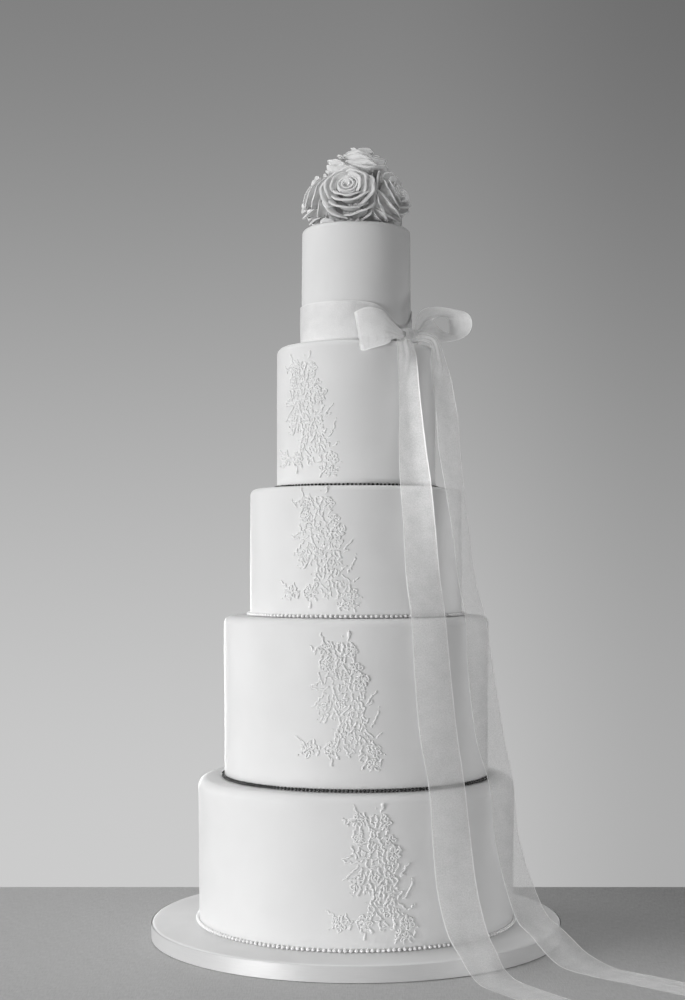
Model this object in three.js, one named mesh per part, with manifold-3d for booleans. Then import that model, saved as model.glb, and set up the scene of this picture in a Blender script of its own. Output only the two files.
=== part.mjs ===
// A five-tier wedding cake on its iced drum board: fondant tiers with piped lace sprays, strands of
// beads at the joints, an organza ribbon tied in a bow round the top tier, and a crown of sugar roses.
// Millimetres, +Z up. The origin is the centre of the board's underside and the front faces -Y.
import * as THREE from 'three';
import { mergeVertices } from 'three/addons/utils/BufferGeometryUtils.js';
import Module from 'manifold-3d';

const wasm = await Module();
wasm.setup();

// ---- driving dimensions ----
const GAP = 0.3; // clearance between pieces that touch
const ROUND_STEPS = 44; // facets round a tier
const ROUNDING_STEPS = 2; // facets over a rounded edge

const BOARD = { radius: 202.6, height: 16, rounding: 2.5 };
const BOARD_RIBBON = { bottom: 0.6, width: 14.4, thickness: 0.6 };

// The tiers from the bottom up: radius at the base and at the top, height, rounding of the top edge.
const TIERS = [
  { name: 'tier_5', base: 155.8, top: 157.2, height: 141.4, rounding: 9 },
  { name: 'tier_4', base: 131.0, top: 131.8, height: 159.5, rounding: 8 },
  { name: 'tier_3', base: 105.8, top: 105.6, height: 125.3, rounding: 6 },
  { name: 'tier_2', base: 79.2, top: 79.0, height: 140.6, rounding: 7 },
  { name: 'tier_1', base: 54.8, top: 53.9, height: 118.3, rounding: 5 },
];

// One strand of small beads lies at the foot of each of these tiers, made here as one round cord.
const PEARL = 0xf2f0ea;
const JET = 0x1b1b1d;
const STRANDS = {
  tier_5: { name: 'pearls_tier_5', beadRadius: 1.75, colour: PEARL },
  tier_4: { name: 'black_beads_tier_4', beadRadius: 1.55, colour: JET },
  tier_3: { name: 'pearls_tier_3', beadRadius: 1.65, colour: PEARL },
  tier_2: { name: 'black_beads_tier_2', beadRadius: 1.45, colour: JET },
};
const STRAND_SIDES = 4;

// Where each lace spray stands: azimuth of its middle, height of its foot above the tier's base,
// and how far it is drawn out in height.
const SPRAYS = {
  tier_5: { azimuth: 4.6, foot: 6.1, stretch: 1 },
  tier_4: { azimuth: -7.8, foot: 19.2, stretch: 1 },
  tier_3: { azimuth: -21.4, foot: 5.5, stretch: 0.92 },
  tier_2: { azimuth: -42.3, foot: 8.2, stretch: 0.95 },
};
const PIPING = { width: 1.7, height: 1.1, sunk: 0.6, leafFullness: 0.19, petalNotch: 0.55, hollow: 0.3 };
const FLOWER_LOBES = 5;
const SHORTEST_PIPED_LEAF = 16; // shorter leaves are too fine for this solid

const RIBBON = { width: 38, thickness: 0.8 };
const FLOOR_LEVEL = RIBBON.thickness / 2 + 0.05; // middle of a ribbon that lies on the table
const LOOP_STEPS = 26;
const TAIL_STEPS = 38;
// The band round tier 1 is drawn in to the gathered width at the knot, and dips there.
const BAND = { bottom: 2.2, gathered: 14, gatherSpread: 26, dip: 10 };
const KNOT = { azimuth: 55, distance: 64.5, wide: 12.5, deep: 6.6, high: 7.8, squareness: 0.72 };

const ROSE = { halfWidth: 27, halfHeight: 24.5, halfDepth: 26, ringRadius: 27, facing: 24, lift: 2 };
const ROSE_TOP = { x: 2, rise: 51, halfWidth: 27, halfDepth: 31 };
const ROSE_TURN = -10.8; // azimuth of the front rose
const ROSE_SPIN = 0.7; // radians that each rose is turned about its own axis, so that no two look alike
const LOOSE_PETAL = { from: -50, to: -28, inner: 44.5, outer: 51, lift: 3.2, thickness: 0.8, wave: 0.4 };
const PETAL_STEPS = 6;

// ---- small helpers ----
const rad = THREE.MathUtils.degToRad;

/** A point at an azimuth measured from the front (-Y) towards +X. */
function polar(radius, azimuth, z) {
  return new THREE.Vector3(radius * Math.sin(azimuth), -radius * Math.cos(azimuth), z);
}

function finish(colour, roughness, opacity = 1) {
  return new THREE.MeshStandardMaterial({
    color: colour, roughness, metalness: 0, opacity, transparent: opacity < 1,
  });
}

function piece(name, geometry, material) {
  const mesh = new THREE.Mesh(geometry, material);
  mesh.name = name;
  return mesh;
}

/** A geometry from points and triangles, with flat faces. */
function fromTriangles(points, triangles) {
  const geometry = new THREE.BufferGeometry();
  const numbers = points.flatMap((p) => [p.x, p.y, p.z]);
  geometry.setAttribute('position', new THREE.Float32BufferAttribute(numbers, 3));
  geometry.setIndex(triangles.flat());
  return geometry;
}

function toSolid(geometry) {
  const bare = geometry.clone();
  bare.deleteAttribute('normal');
  bare.deleteAttribute('uv');
  const merged = mergeVertices(bare, 1e-4);
  return new wasm.Manifold(new wasm.Mesh({
    numProp: 3,
    vertProperties: new Float32Array(merged.attributes.position.array),
    triVerts: new Uint32Array(merged.index.array),
  }));
}

function toGeometry(solid) {
  const mesh = solid.getMesh();
  const geometry = new THREE.BufferGeometry();
  const position = new Float32Array(mesh.numVert * 3);
  for (let i = 0; i < mesh.numVert; i += 1) {
    for (let k = 0; k < 3; k += 1) position[3 * i + k] = mesh.vertProperties[mesh.numProp * i + k];
  }
  geometry.setAttribute('position', new THREE.BufferAttribute(position, 3));
  geometry.setIndex(Array.from(mesh.triVerts));
  return geometry;
}

function largestBody(solid) {
  return solid.decompose().reduce((best, part) => (part.volume() > best.volume() ? part : best));
}

/**
 * Joins rings of points, each with the same count, into a closed skin with flat or pointed ends.
 * The second half of each ring has its diagonals turned, so that both faces of a thin strip are
 * split alike and keep their distance where it twists.
 */
function skin(rings, closedLoop = false) {
  const count = rings[0].length;
  const points = rings.flat();
  const triangles = [];
  const spans = closedLoop ? rings.length : rings.length - 1;
  for (let i = 0; i < spans; i += 1) {
    const here = i * count;
    const next = ((i + 1) % rings.length) * count;
    for (let j = 0; j < count; j += 1) {
      const k = (j + 1) % count;
      if (j < count / 2) {
        triangles.push([here + j, here + k, next + k], [here + j, next + k, next + j]);
      } else {
        triangles.push([here + j, here + k, next + j], [here + k, next + k, next + j]);
      }
    }
  }
  if (!closedLoop) {
    const last = (rings.length - 1) * count;
    for (let j = 1; j < count - 1; j += 1) {
      triangles.push([0, j + 1, j], [last, last + j, last + j + 1]);
    }
  }
  return fromTriangles(points, triangles);
}

// ---- board and tiers ----
function revolve(outline) {
  const profile = outline.map(([radius, z]) => new THREE.Vector2(radius, z));
  return new THREE.LatheGeometry(profile, ROUND_STEPS).rotateX(Math.PI / 2);
}

/** Outline of an iced drum: flat base, nearly straight side, rounded top edge. */
function drumOutline(baseRadius, topRadius, bottom, top, rounding) {
  const outline = [[0, bottom], [baseRadius, bottom]];
  for (let i = 0; i <= ROUNDING_STEPS; i += 1) {
    const turn = (i / ROUNDING_STEPS) * (Math.PI / 2);
    outline.push([topRadius - rounding * (1 - Math.cos(turn)), top - rounding * (1 - Math.sin(turn))]);
  }
  outline.push([0, top]);
  return outline;
}

function board() {
  const { radius, height, rounding } = BOARD;
  return revolve(drumOutline(radius, radius, 0, height, rounding));
}

function boardRibbon() {
  const inner = BOARD.radius + GAP;
  const outer = inner + BOARD_RIBBON.thickness;
  const low = BOARD_RIBBON.bottom;
  const high = low + BOARD_RIBBON.width;
  return revolve([[inner, low], [outer, low], [outer, high], [inner, high], [inner, low]]);
}

/** Adds the heights at which each tier stands, from the board up. */
function stacked(tiers) {
  let z = BOARD.height;
  return tiers.map((tier) => {
    const placed = { ...tier, bottom: z + GAP, ceiling: z + tier.height };
    z += tier.height;
    return placed;
  });
}

function tierRadius(tier, z) {
  return THREE.MathUtils.mapLinear(z, tier.bottom, tier.ceiling, tier.base, tier.top);
}

function plainTier(tier) {
  return revolve(drumOutline(tier.base, tier.top, tier.bottom, tier.ceiling, tier.rounding));
}

// ---- piped lace ----
// The spray is drawn flat: u runs to the right along the tier and v up from the foot of the spray.
const FLOWERS = [ // u, v, radius, turn
  [-10, 106, 7, 10], [10, 112, 7, 50], [23.5, 83, 9, 20], [-4.5, 87, 8, 0], [10, 70, 8, 35],
  [-5.5, 20, 7.5, 40], [32.5, 17, 8, 0],
];
const LEAVES = [ // from u, v to u, v
  [-8, 118, -14.5, 129], [-8, 113, -25.5, 117], [12, 104, 12, 129], [-12.5, 80.5, -17, 96],
  [-6.5, 78, -24.5, 77], [-8, 74, -24.5, 58], [-3, 62, -12.5, 44.5], [28, 60.5, 37, 74], [31, 40, 40, 60],
  [2.5, 90.5, 2.5, 107], [26, 25, 24.5, 2], [34.5, 14.5, 31, 0], [35, 11, 42, 1], [-4.5, 14.5, -5.5, 2],
  [-20, 29, -16.5, 13.5], [-24.5, 27, -26.5, 12.5], [-41, 31.5, -28, 16], [37, 32.5, 42.5, 37],
];
const STEMS = [ // lists of u, v
  [[14, 104], [16, 74], [25, 42], [32, 20]],
  [[2, 86], [5, 60], [14, 34]],
  [[-2, 22], [14, 34]],
];

/** Carries a flat point of a spray onto its tier, lifted off the icing. */
function onTier(tier, spray, u, v, lift) {
  const z = tier.bottom + spray.foot + v * spray.stretch;
  const radius = tierRadius(tier, z);
  return polar(radius + lift, rad(spray.azimuth) + u / radius, z);
}

/** One piped line of triangular section along flat points, sunk a little into the icing. */
function pipedLine(place, flat, closedLoop) {
  const rings = flat.map(([u, v], i) => {
    const before = flat[closedLoop ? (i + flat.length - 1) % flat.length : Math.max(i - 1, 0)];
    const after = flat[closedLoop ? (i + 1) % flat.length : Math.min(i + 1, flat.length - 1)];
    const along = new THREE.Vector2(after[0] - before[0], after[1] - before[1]);
    const side = new THREE.Vector2(-along.y, along.x).setLength(PIPING.width / 2);
    return [
      place(u + side.x, v + side.y, -PIPING.sunk),
      place(u, v, PIPING.height),
      place(u - side.x, v - side.y, -PIPING.sunk),
    ];
  });
  return skin(rings, closedLoop);
}

/** A leaf is a pointed loop of piping. */
function leaf(place, [u0, v0, u1, v1]) {
  const [u, v] = [(u0 + u1) / 2, (v0 + v1) / 2];
  const [du, dv] = [(v0 - v1) * PIPING.leafFullness, (u1 - u0) * PIPING.leafFullness];
  return pipedLine(place, [[u0, v0], [u + du, v + dv], [u1, v1], [u - du, v - dv]], true);
}

/** A flower is a raised plate of five lobes with a hollow middle. */
function flower(place, [u, v, radius, turn]) {
  const rim = [];
  for (let i = 0; i < 2 * FLOWER_LOBES; i += 1) {
    const angle = rad(turn) + (i * Math.PI) / FLOWER_LOBES;
    const reach = i % 2 === 0 ? radius : radius * PIPING.petalNotch;
    rim.push([u + reach * Math.cos(angle), v + reach * Math.sin(angle)]);
  }
  const points = [place(u, v, -PIPING.sunk), place(u, v, PIPING.height * PIPING.hollow)];
  for (const [x, y] of rim) points.push(place(x, y, -PIPING.sunk), place(x, y, PIPING.height));
  const triangles = [];
  for (let i = 0; i < rim.length; i += 1) {
    const low = 2 + 2 * i;
    const nextLow = 2 + 2 * ((i + 1) % rim.length);
    triangles.push([0, nextLow, low], [1, low + 1, nextLow + 1]);
    triangles.push([low, nextLow, nextLow + 1], [low, nextLow + 1, low + 1]);
  }
  return fromTriangles(points, triangles);
}

function lacedTier(tier) {
  const spray = SPRAYS[tier.name];
  const place = (u, v, lift) => onTier(tier, spray, u, v, lift);
  const longEnough = ([u0, v0, u1, v1]) => Math.hypot(u1 - u0, v1 - v0) >= SHORTEST_PIPED_LEAF;
  const motifs = [
    ...FLOWERS.map((row) => flower(place, row)),
    ...LEAVES.filter(longEnough).map((row) => leaf(place, row)),
    ...STEMS.map((flat) => pipedLine(place, flat, false)),
  ];
  let solid = toSolid(plainTier(tier));
  for (const motif of motifs) solid = solid.add(toSolid(motif));
  return toGeometry(largestBody(solid));
}

// ---- strands of beads ----
/** The round cord that a strand of beads fills, lying in the corner at a tier's foot. */
function beadStrand(tier, { beadRadius }) {
  const centre = tier.base + GAP + beadRadius;
  const section = [];
  for (let i = 0; i <= STRAND_SIDES; i += 1) {
    const turn = -Math.PI / 2 + (i / STRAND_SIDES) * 2 * Math.PI;
    section.push([centre + beadRadius * Math.cos(turn), tier.bottom + beadRadius * (1 + Math.sin(turn))]);
  }
  section[STRAND_SIDES] = section[0];
  return revolve(section);
}

// ---- ribbon ----
/** A thin closed strip between two edges, each a list of points. */
function ribbonBetween(leftEdge, rightEdge, steps) {
  const edges = [leftEdge, rightEdge].map((row) => new THREE.CatmullRomCurve3(row, false, 'centripetal'));
  const samples = Array.from({ length: steps + 1 }, (_, i) => edges.map((edge) => {
    const point = edge.getPoint(i / steps);
    point.z = Math.max(point.z, FLOOR_LEVEL);
    return point;
  }));
  const rings = samples.map(([left, right], i) => {
    const before = samples[Math.max(i - 1, 0)];
    const after = samples[Math.min(i + 1, steps)];
    const along = after[0].clone().add(after[1]).sub(before[0]).sub(before[1]);
    const out = right.clone().sub(left).cross(along).setLength(RIBBON.thickness / 2);
    return [left.clone().add(out), right.clone().add(out), right.clone().sub(out), left.clone().sub(out)];
  });
  return skin(rings);
}

/**
 * A ribbon along a route. Each row is x, y, z of the middle of the ribbon, its width there, and the
 * azimuth and tilt in degrees of the line across it.
 */
function ribbonAlong(route, steps) {
  const edge = (side) => route.map(([x, y, z, width, turn, tilt]) => {
    const level = Math.cos(rad(tilt));
    return new THREE.Vector3(Math.cos(rad(turn)) * level, Math.sin(rad(turn)) * level, Math.sin(rad(tilt)))
      .multiplyScalar(side * width)
      .add(new THREE.Vector3(x, y, z));
  });
  return ribbonBetween(edge(-0.5), edge(0.5), steps);
}

const tiers = stacked(TIERS);
const topTier = tiers[4];
const secondTier = tiers[3];
const shelf = secondTier.ceiling; // the top of tier 2, on which the bow rests

// Middle of the ribbon, its width, then azimuth and tilt of the line across it.
const TAIL_FRONT = [
  [50, -41, shelf + 2.6, 12, 48, 0],
  [48.5, -52, shelf + 1.6, 16, 46, 0],
  [46.5, -64, shelf + 0.6, 20, 42, 0],
  [48.4, -71, shelf - 14, 23, 38, 0],
  [51.3, -76, 526, 26, 36, 0],
  [53.5, -83, 480, 32, 34, 0],
  [56, -92.5, 447, 35, 31, 0],
  [59, -99, 410, 36, 31, 0],
  [62.5, -107, 356, 38, 30, 0],
  [67, -115.5, 320, 38, 30, 0],
  [70.5, -121.5, 270, 38, 25, 0],
  [76, -127.5, 210, 38, 20, 0],
  [83.5, -135.5, 161, 38, 26, 0],
  [87, -143, 118, 38, 20, 0],
  [92, -153, 70, 38, 12, 0],
  [101, -164, 34, 38, 14, 0],
  [109, -176, 19.5, 38, 25, 0],
  [115, -188, 9, 38, 29, -2],
  [122, -200, 2.5, 38, 30, 0],
  [130, -213, FLOOR_LEVEL, 38, 30.5, 0],
  [154, -252, FLOOR_LEVEL, 38, 31, 0],
  [178, -290, FLOOR_LEVEL, 46, 62, 0],
];
const TAIL_SIDE = [
  [59, -38, shelf + 7.7, 11, 60, 55],
  [68, -42, shelf + 6.7, 12, 58, 50],
  [75, -42, shelf + 3.2, 13, 56, 36],
  [78.1, -39, shelf - 3.8, 18, 54, 16],
  [80.5, -34.5, 568, 26, 53, 0],
  [83.4, -35, 551, 35.5, 54, 0],
  [86.4, -39, 531, 37, 54, 0],
  [88.8, -42, 511, 38, 53, 0],
  [91, -44.5, 478, 38, 53, 0],
  [95, -50, 446, 38, 57, 0],
  [101, -57, 400, 38, 60, 0],
  [107, -63.5, 350, 38, 60, 0],
  [113.5, -71, 320, 38, 56, 0],
  [119, -75, 265, 38, 45, 0],
  [128, -79.5, 200, 38, 41, 0],
  [137.5, -84, 161, 38, 48, 0],
  [142.5, -86, 110, 38, 48, 0],
  [155, -87.5, 62, 38, 42, 0],
  [167, -94, 33, 38, 36, 2],
  [177, -105, 24.5, 38, 38, 5],
  [187, -120, 15, 38, 40, 11],
  [200, -146, 6.5, 38, 42, 9],
  [223, -166, FLOOR_LEVEL + 0.4, 38, 45, 0],
  [249, -189, FLOOR_LEVEL, 38, 45, 0],
  [292, -230, FLOOR_LEVEL, 38, 45, 0],
  [330, -266, FLOOR_LEVEL, 46, 78, 0],
];
const LOOP_LEFT_TOP = [ // x, y, z of the upper edge: out along the front, round the fold, back behind
  [50, -42, 594], [42, -48, 596.8], [33, -53.5, 604.5], [27, -57, 611.5], [19, -60.5, 614.9],
  [8, -64, 614.2], [0, -66, 610.8], [-1.8, -64.5, 609.8], [4, -60.5, 614], [16, -58, 616.5],
  [27, -52, 610.5], [38, -45.5, 600], [48, -42.5, 595],
];
const LOOP_LEFT_BOTTOM = [
  [50, -43, 587.5], [41, -57, 585.5], [35.5, -68, 583.7], [30, -75.5, 578.5], [21, -80, 575],
  [12, -83, 572], [7, -83.5, 570.5], [5, -81.3, 576.5], [6.5, -80, 583.8], [15, -70, 585.5],
  [27, -59, 585.8], [38, -49.5, 586.8], [48, -42.5, 588],
];
const LOOP_RIGHT_NEAR = [ // x, y, z of the edge nearer the front: up from the knot, over, and back below
  [56, -38, 598], [63, -41, 615], [75, -38, 619], [94, -33, 618], [110, -29.5, 613.5],
  [114, -28, 605], [111, -28.5, 595], [103, -30, 589], [92, -31, 586.2], [82, -31, 584.8],
  [73, -31.5, 585.8], [64, -33, 590],
];
const LOOP_RIGHT_FAR = [
  [60, -31, 592], [66, -19, 598], [72, -11, 606.5], [77, -6, 612], [84, -3, 614.5], [91.5, 0, 613.5],
  [93, 2, 606], [91.5, 1, 598.5], [87, -4, 600], [81, -10, 603], [74, -22, 609], [67, -28, 605],
  [60, -33, 596],
];

/** The ribbon round tier 1, gathered where it passes behind the knot. */
function band() {
  const rings = [];
  for (let i = 0; i < ROUND_STEPS; i += 1) {
    const azimuth = (i / ROUND_STEPS) * 2 * Math.PI;
    const turned = azimuth - rad(KNOT.azimuth);
    const away = Math.atan2(Math.sin(turned), Math.cos(turned));
    const drawnIn = Math.exp(-((away / rad(BAND.gatherSpread)) ** 2));
    const width = THREE.MathUtils.lerp(RIBBON.width, BAND.gathered, drawnIn);
    const middle = topTier.bottom + BAND.bottom + RIBBON.width / 2 - drawnIn * BAND.dip;
    const low = middle - width / 2;
    const high = middle + width / 2;
    const inner = (z) => (tierRadius(topTier, z) + 2 * GAP);
    const outer = (z) => inner(z) + RIBBON.thickness;
    rings.push([
      polar(inner(low), azimuth, low), polar(inner(high), azimuth, high),
      polar(outer(high), azimuth, high), polar(outer(low), azimuth, low),
    ]);
  }
  return skin(rings, true);
}

/** The knot: a ball squared off and flattened against the band, grown by a clearance when it cuts. */
function knotShape(clearance) {
  const { wide, deep, high, distance, azimuth, squareness } = KNOT;
  const square = (value) => Math.sign(value) * Math.abs(value) ** squareness;
  const shape = new THREE.SphereGeometry(1, 12, 8);
  const position = shape.attributes.position;
  for (let i = 0; i < position.count; i += 1) {
    position.setXYZ(
      i,
      square(position.getX(i)) * (wide + clearance),
      square(position.getZ(i)) * (deep + clearance),
      square(position.getY(i)) * (high + clearance),
    );
  }
  shape.index.array.reverse();
  const centre = polar(distance, rad(azimuth), shelf + GAP + high);
  return shape.rotateZ(rad(azimuth)).translate(centre.x, centre.y, centre.z);
}

/** A ribbon that comes out of the knot, ended at the knot's face. */
function fromKnot(strip) {
  return toGeometry(largestBody(toSolid(strip).subtract(toSolid(knotShape(GAP)))));
}

// ---- sugar roses ----
const PETAL_ROWS = [ // angle from the rose's axis, reach, petals in the row, their phase
  [13, 1.0, 3, 0], [21, 0.88, 3, 0.5], [33, 1.0, 5, 0.2], [42, 0.88, 5, 0.7], [56, 1.0, 5, 0.9],
  [65, 0.89, 5, 0.4], [80, 1.03, 5, 0.5], [93, 0.92, 5, 0], [125, 0.85, 5, 0],
];
const ROSE_FACETS = 20;
const PETAL_LOBE = 0.05; // how far a petal's middle stands out beyond its ends

/** A rose opened round +Z: rows of lobed petal rims with hollows between them. */
function roseDome(halfWidth, halfHeight, halfDepth) {
  const points = [new THREE.Vector3(0, 0, 0.9 * halfDepth)];
  const triangles = [];
  for (const [angle, reach, petals, phase] of PETAL_ROWS) {
    for (let j = 0; j < ROSE_FACETS; j += 1) {
      const turn = (j / ROSE_FACETS) * 2 * Math.PI;
      const lobe = PETAL_LOBE * Math.abs(Math.sin((petals * turn) / 2 + phase * Math.PI));
      const tilt = rad(angle);
      const size = reach + lobe;
      points.push(new THREE.Vector3(
        size * halfWidth * Math.sin(tilt) * Math.cos(turn),
        size * halfHeight * Math.sin(tilt) * Math.sin(turn),
        size * halfDepth * Math.cos(tilt),
      ));
    }
  }
  const back = points.push(new THREE.Vector3(0, 0, -halfDepth)) - 1;
  const at = (row, j) => 1 + row * ROSE_FACETS + (j % ROSE_FACETS);
  for (let j = 0; j < ROSE_FACETS; j += 1) {
    triangles.push([0, at(0, j), at(0, j + 1)]);
    for (let row = 0; row < PETAL_ROWS.length - 1; row += 1) {
      triangles.push([at(row, j), at(row + 1, j), at(row + 1, j + 1)]);
      triangles.push([at(row, j), at(row + 1, j + 1), at(row, j + 1)]);
    }
    triangles.push([at(PETAL_ROWS.length - 1, j), back, at(PETAL_ROWS.length - 1, j + 1)]);
  }
  return fromTriangles(points, triangles);
}

/** Six roses pressed together: five facing out and one facing up, parted by planes between them. */
function roses() {
  const base = topTier.ceiling + GAP;
  const places = [];
  for (let i = 0; i < 5; i += 1) {
    const azimuth = rad(ROSE_TURN + 72 * i);
    const centre = polar(ROSE.ringRadius, azimuth, base + ROSE.halfHeight + ROSE.lift);
    const turn = new THREE.Matrix4().makeRotationZ(azimuth)
      .multiply(new THREE.Matrix4().makeRotationX(Math.PI / 2 - rad(ROSE.facing)));
    const dome = roseDome(ROSE.halfWidth, ROSE.halfHeight, ROSE.halfDepth);
    dome.rotateZ(ROSE_SPIN * i).applyMatrix4(turn).translate(centre.x, centre.y, centre.z);
    places.push({ name: `rose_${i + 1}`, centre, dome });
  }
  const centre = new THREE.Vector3(ROSE_TOP.x, 0, base + ROSE_TOP.rise);
  const dome = roseDome(ROSE_TOP.halfWidth, ROSE_TOP.halfWidth, ROSE_TOP.halfDepth);
  dome.translate(centre.x, centre.y, centre.z);
  places.push({ name: 'rose_top', centre, dome });

  return places.map((rose) => {
    let solid = toSolid(rose.dome).trimByPlane([0, 0, 1], base);
    for (const other of places) {
      if (other === rose) continue;
      const away = rose.centre.clone().sub(other.centre).normalize();
      const middle = rose.centre.clone().add(other.centre).multiplyScalar(0.5).dot(away);
      solid = solid.trimByPlane([away.x, away.y, away.z], middle + GAP / 2);
    }
    return { name: rose.name, geometry: toGeometry(largestBody(solid)) };
  });
}

/** A petal that lies loose at the foot of the roses: a thin curled strip, both faces split alike. */
function loosePetal() {
  const { from, to, inner, outer, lift, thickness, wave } = LOOSE_PETAL;
  const rings = [];
  for (let i = 0; i <= PETAL_STEPS; i += 1) {
    const share = i / PETAL_STEPS;
    const fullness = 0.25 + 0.75 * Math.sin(Math.PI * share);
    const azimuth = rad(THREE.MathUtils.lerp(from, to, share));
    const reach = THREE.MathUtils.lerp(inner, outer, fullness);
    const low = topTier.ceiling + GAP + wave * Math.sin(3 * Math.PI * share) ** 2;
    const high = low + lift * fullness;
    rings.push([
      polar(inner, azimuth, low + thickness), polar(reach, azimuth, high + thickness),
      polar(reach, azimuth, high), polar(inner, azimuth, low),
    ]);
  }
  return skin(rings);
}

// ---- the cake ----
const cake = new THREE.Group();
const fondant = 0xf4f3ef;
const organza = 0xfafafa;
const sugar = 0xfaf9f6;
cake.add(piece('board', board(), finish(fondant, 0.6)));
cake.add(piece('board_ribbon', boardRibbon(), finish(0xf6f6f4, 0.25)));
for (const tier of tiers) {
  cake.add(piece(tier.name, SPRAYS[tier.name] ? lacedTier(tier) : plainTier(tier), finish(fondant, 0.55)));
  const strand = STRANDS[tier.name];
  if (strand) cake.add(piece(strand.name, beadStrand(tier, strand), finish(strand.colour, 0.25)));
}
cake.add(piece('ribbon_band', band(), finish(organza, 0.4, 0.6)));
cake.add(piece('bow_knot', knotShape(0), finish(organza, 0.4, 0.8)));
const toPoints = (rows) => rows.map(([x, y, z]) => new THREE.Vector3(x, y, z));
const ribbons = {
  bow_loop_left: ribbonBetween(toPoints(LOOP_LEFT_TOP), toPoints(LOOP_LEFT_BOTTOM), LOOP_STEPS),
  bow_loop_right: ribbonBetween(toPoints(LOOP_RIGHT_NEAR), toPoints(LOOP_RIGHT_FAR), LOOP_STEPS),
  ribbon_tail_front: ribbonAlong(TAIL_FRONT, TAIL_STEPS),
  ribbon_tail_side: ribbonAlong(TAIL_SIDE, TAIL_STEPS),
};
for (const [name, strip] of Object.entries(ribbons)) {
  cake.add(piece(name, fromKnot(strip), finish(organza, 0.4, 0.5)));
}
for (const { name, geometry } of roses()) cake.add(piece(name, geometry, finish(sugar, 0.7)));
cake.add(piece('petal_loose', loosePetal(), finish(sugar, 0.7)));

export default cake;
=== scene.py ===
"""Looks for the five-tier wedding cake: smooth iced drums with piped lace, real bead strands,
an organza ribbon tied in a bow, and a crown of sugar roses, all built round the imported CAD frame.

Lengths in this file are millimetres, in the frame of the CAD, and become metres when a mesh is
made. Azimuths run from the front (-Y) towards +X. The routes of the ribbons, the sprays of lace
and the places of the roses repeat the named sizes of the CAD part.
"""

import json
import math
import random

import bpy
import numpy as np
from mathutils import Matrix, Vector


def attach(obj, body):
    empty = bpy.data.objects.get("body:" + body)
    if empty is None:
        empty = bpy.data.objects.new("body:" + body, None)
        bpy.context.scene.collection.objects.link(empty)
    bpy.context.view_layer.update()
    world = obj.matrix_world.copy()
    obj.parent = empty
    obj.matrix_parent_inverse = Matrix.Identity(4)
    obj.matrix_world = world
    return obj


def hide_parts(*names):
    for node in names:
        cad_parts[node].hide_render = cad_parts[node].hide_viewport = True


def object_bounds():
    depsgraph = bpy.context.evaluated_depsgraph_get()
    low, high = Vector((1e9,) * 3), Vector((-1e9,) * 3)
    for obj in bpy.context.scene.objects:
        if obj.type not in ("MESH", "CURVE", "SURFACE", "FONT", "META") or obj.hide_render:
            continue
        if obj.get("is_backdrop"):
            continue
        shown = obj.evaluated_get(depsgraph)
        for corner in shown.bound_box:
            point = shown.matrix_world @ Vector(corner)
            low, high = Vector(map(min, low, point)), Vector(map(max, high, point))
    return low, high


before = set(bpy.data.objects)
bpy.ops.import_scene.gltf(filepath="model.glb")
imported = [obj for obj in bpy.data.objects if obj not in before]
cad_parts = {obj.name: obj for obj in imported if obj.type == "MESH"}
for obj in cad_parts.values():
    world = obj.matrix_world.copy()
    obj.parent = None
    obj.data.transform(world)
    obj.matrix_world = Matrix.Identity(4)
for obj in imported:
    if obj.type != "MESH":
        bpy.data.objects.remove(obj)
cad_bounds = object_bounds()

MM = 0.001
TURN = 2 * math.pi

# ---- sizes shared with the CAD part ----
GAP = 0.3  # left between one solid and the next
BOARD = dict(radius=202.6, height=16, rounding=2.5)
BOARD_RIBBON = dict(bottom=0.6, width=14.4, thickness=0.4)
TIER_ROWS = [  # name, radius at the base and at the top, height, rounding of the top edge
    ("tier_5", 155.8, 157.2, 141.4, 9),
    ("tier_4", 131.0, 131.8, 159.5, 8),
    ("tier_3", 105.8, 105.6, 125.3, 6),
    ("tier_2", 79.2, 79.0, 140.6, 7),
    ("tier_1", 54.8, 53.9, 118.3, 5),
]
RIBBON_WIDTH = 38
FLOOR_LEVEL = 0.45  # the height at which the tails lie on the table
BAND = dict(radius=56, bottom=2.2, gathered=14, spread=26, dip=10)
KNOT = dict(azimuth=55, distance=64.5, wide=12.5, deep=6.6, high=7.8)
ROSE = dict(half_width=27, half_height=24.5, ring=27, facing=24, lift=2, turn=-10.8)
ROSE_TOP = dict(x=2, rise=51, half_width=27, lean=8)


def stack_tiers():
    """The tiers by name, each with the height it stands at."""
    tiers, z = {}, BOARD["height"]
    for name, base, top, height, rounding in TIER_ROWS:
        tiers[name] = dict(base=base, top=top, bottom=z + GAP, ceiling=z + height, rounding=rounding)
        z += height
    return tiers


TIERS = stack_tiers()
SHELF = TIERS["tier_2"]["ceiling"]  # the top of tier 2, on which the bow rests


def tier_radius(tier, z):
    share = (z - tier["bottom"]) / (tier["ceiling"] - tier["bottom"])
    return tier["base"] + (tier["top"] - tier["base"]) * min(max(share, 0), 1)


def polar(radius, azimuth, z):
    return Vector((radius * math.sin(azimuth), -radius * math.cos(azimuth), z))


# ---- meshes ----
def mesh_piece(name, points, faces, material, replaces=(), slot=None):
    """A smooth piece from points in millimetres, riding on the cake."""
    mesh = bpy.data.meshes.new(name)
    mesh.from_pydata([(x * MM, y * MM, z * MM) for x, y, z in points], [], faces)
    mesh.update()
    mesh.shade_smooth()
    piece = bpy.data.objects.new(name, mesh)
    bpy.context.collection.objects.link(piece)
    mesh.materials.append(material)
    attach(piece, "root")
    if replaces:
        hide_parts(*replaces)
    return piece


def store_vectors(piece, name, values):
    """Stores three numbers for each point of a piece, for its material to read."""
    attribute = piece.data.attributes.new(name, "FLOAT_VECTOR", "POINT")
    attribute.data.foreach_set("vector", np.array(values, dtype=np.float32).ravel())


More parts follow.
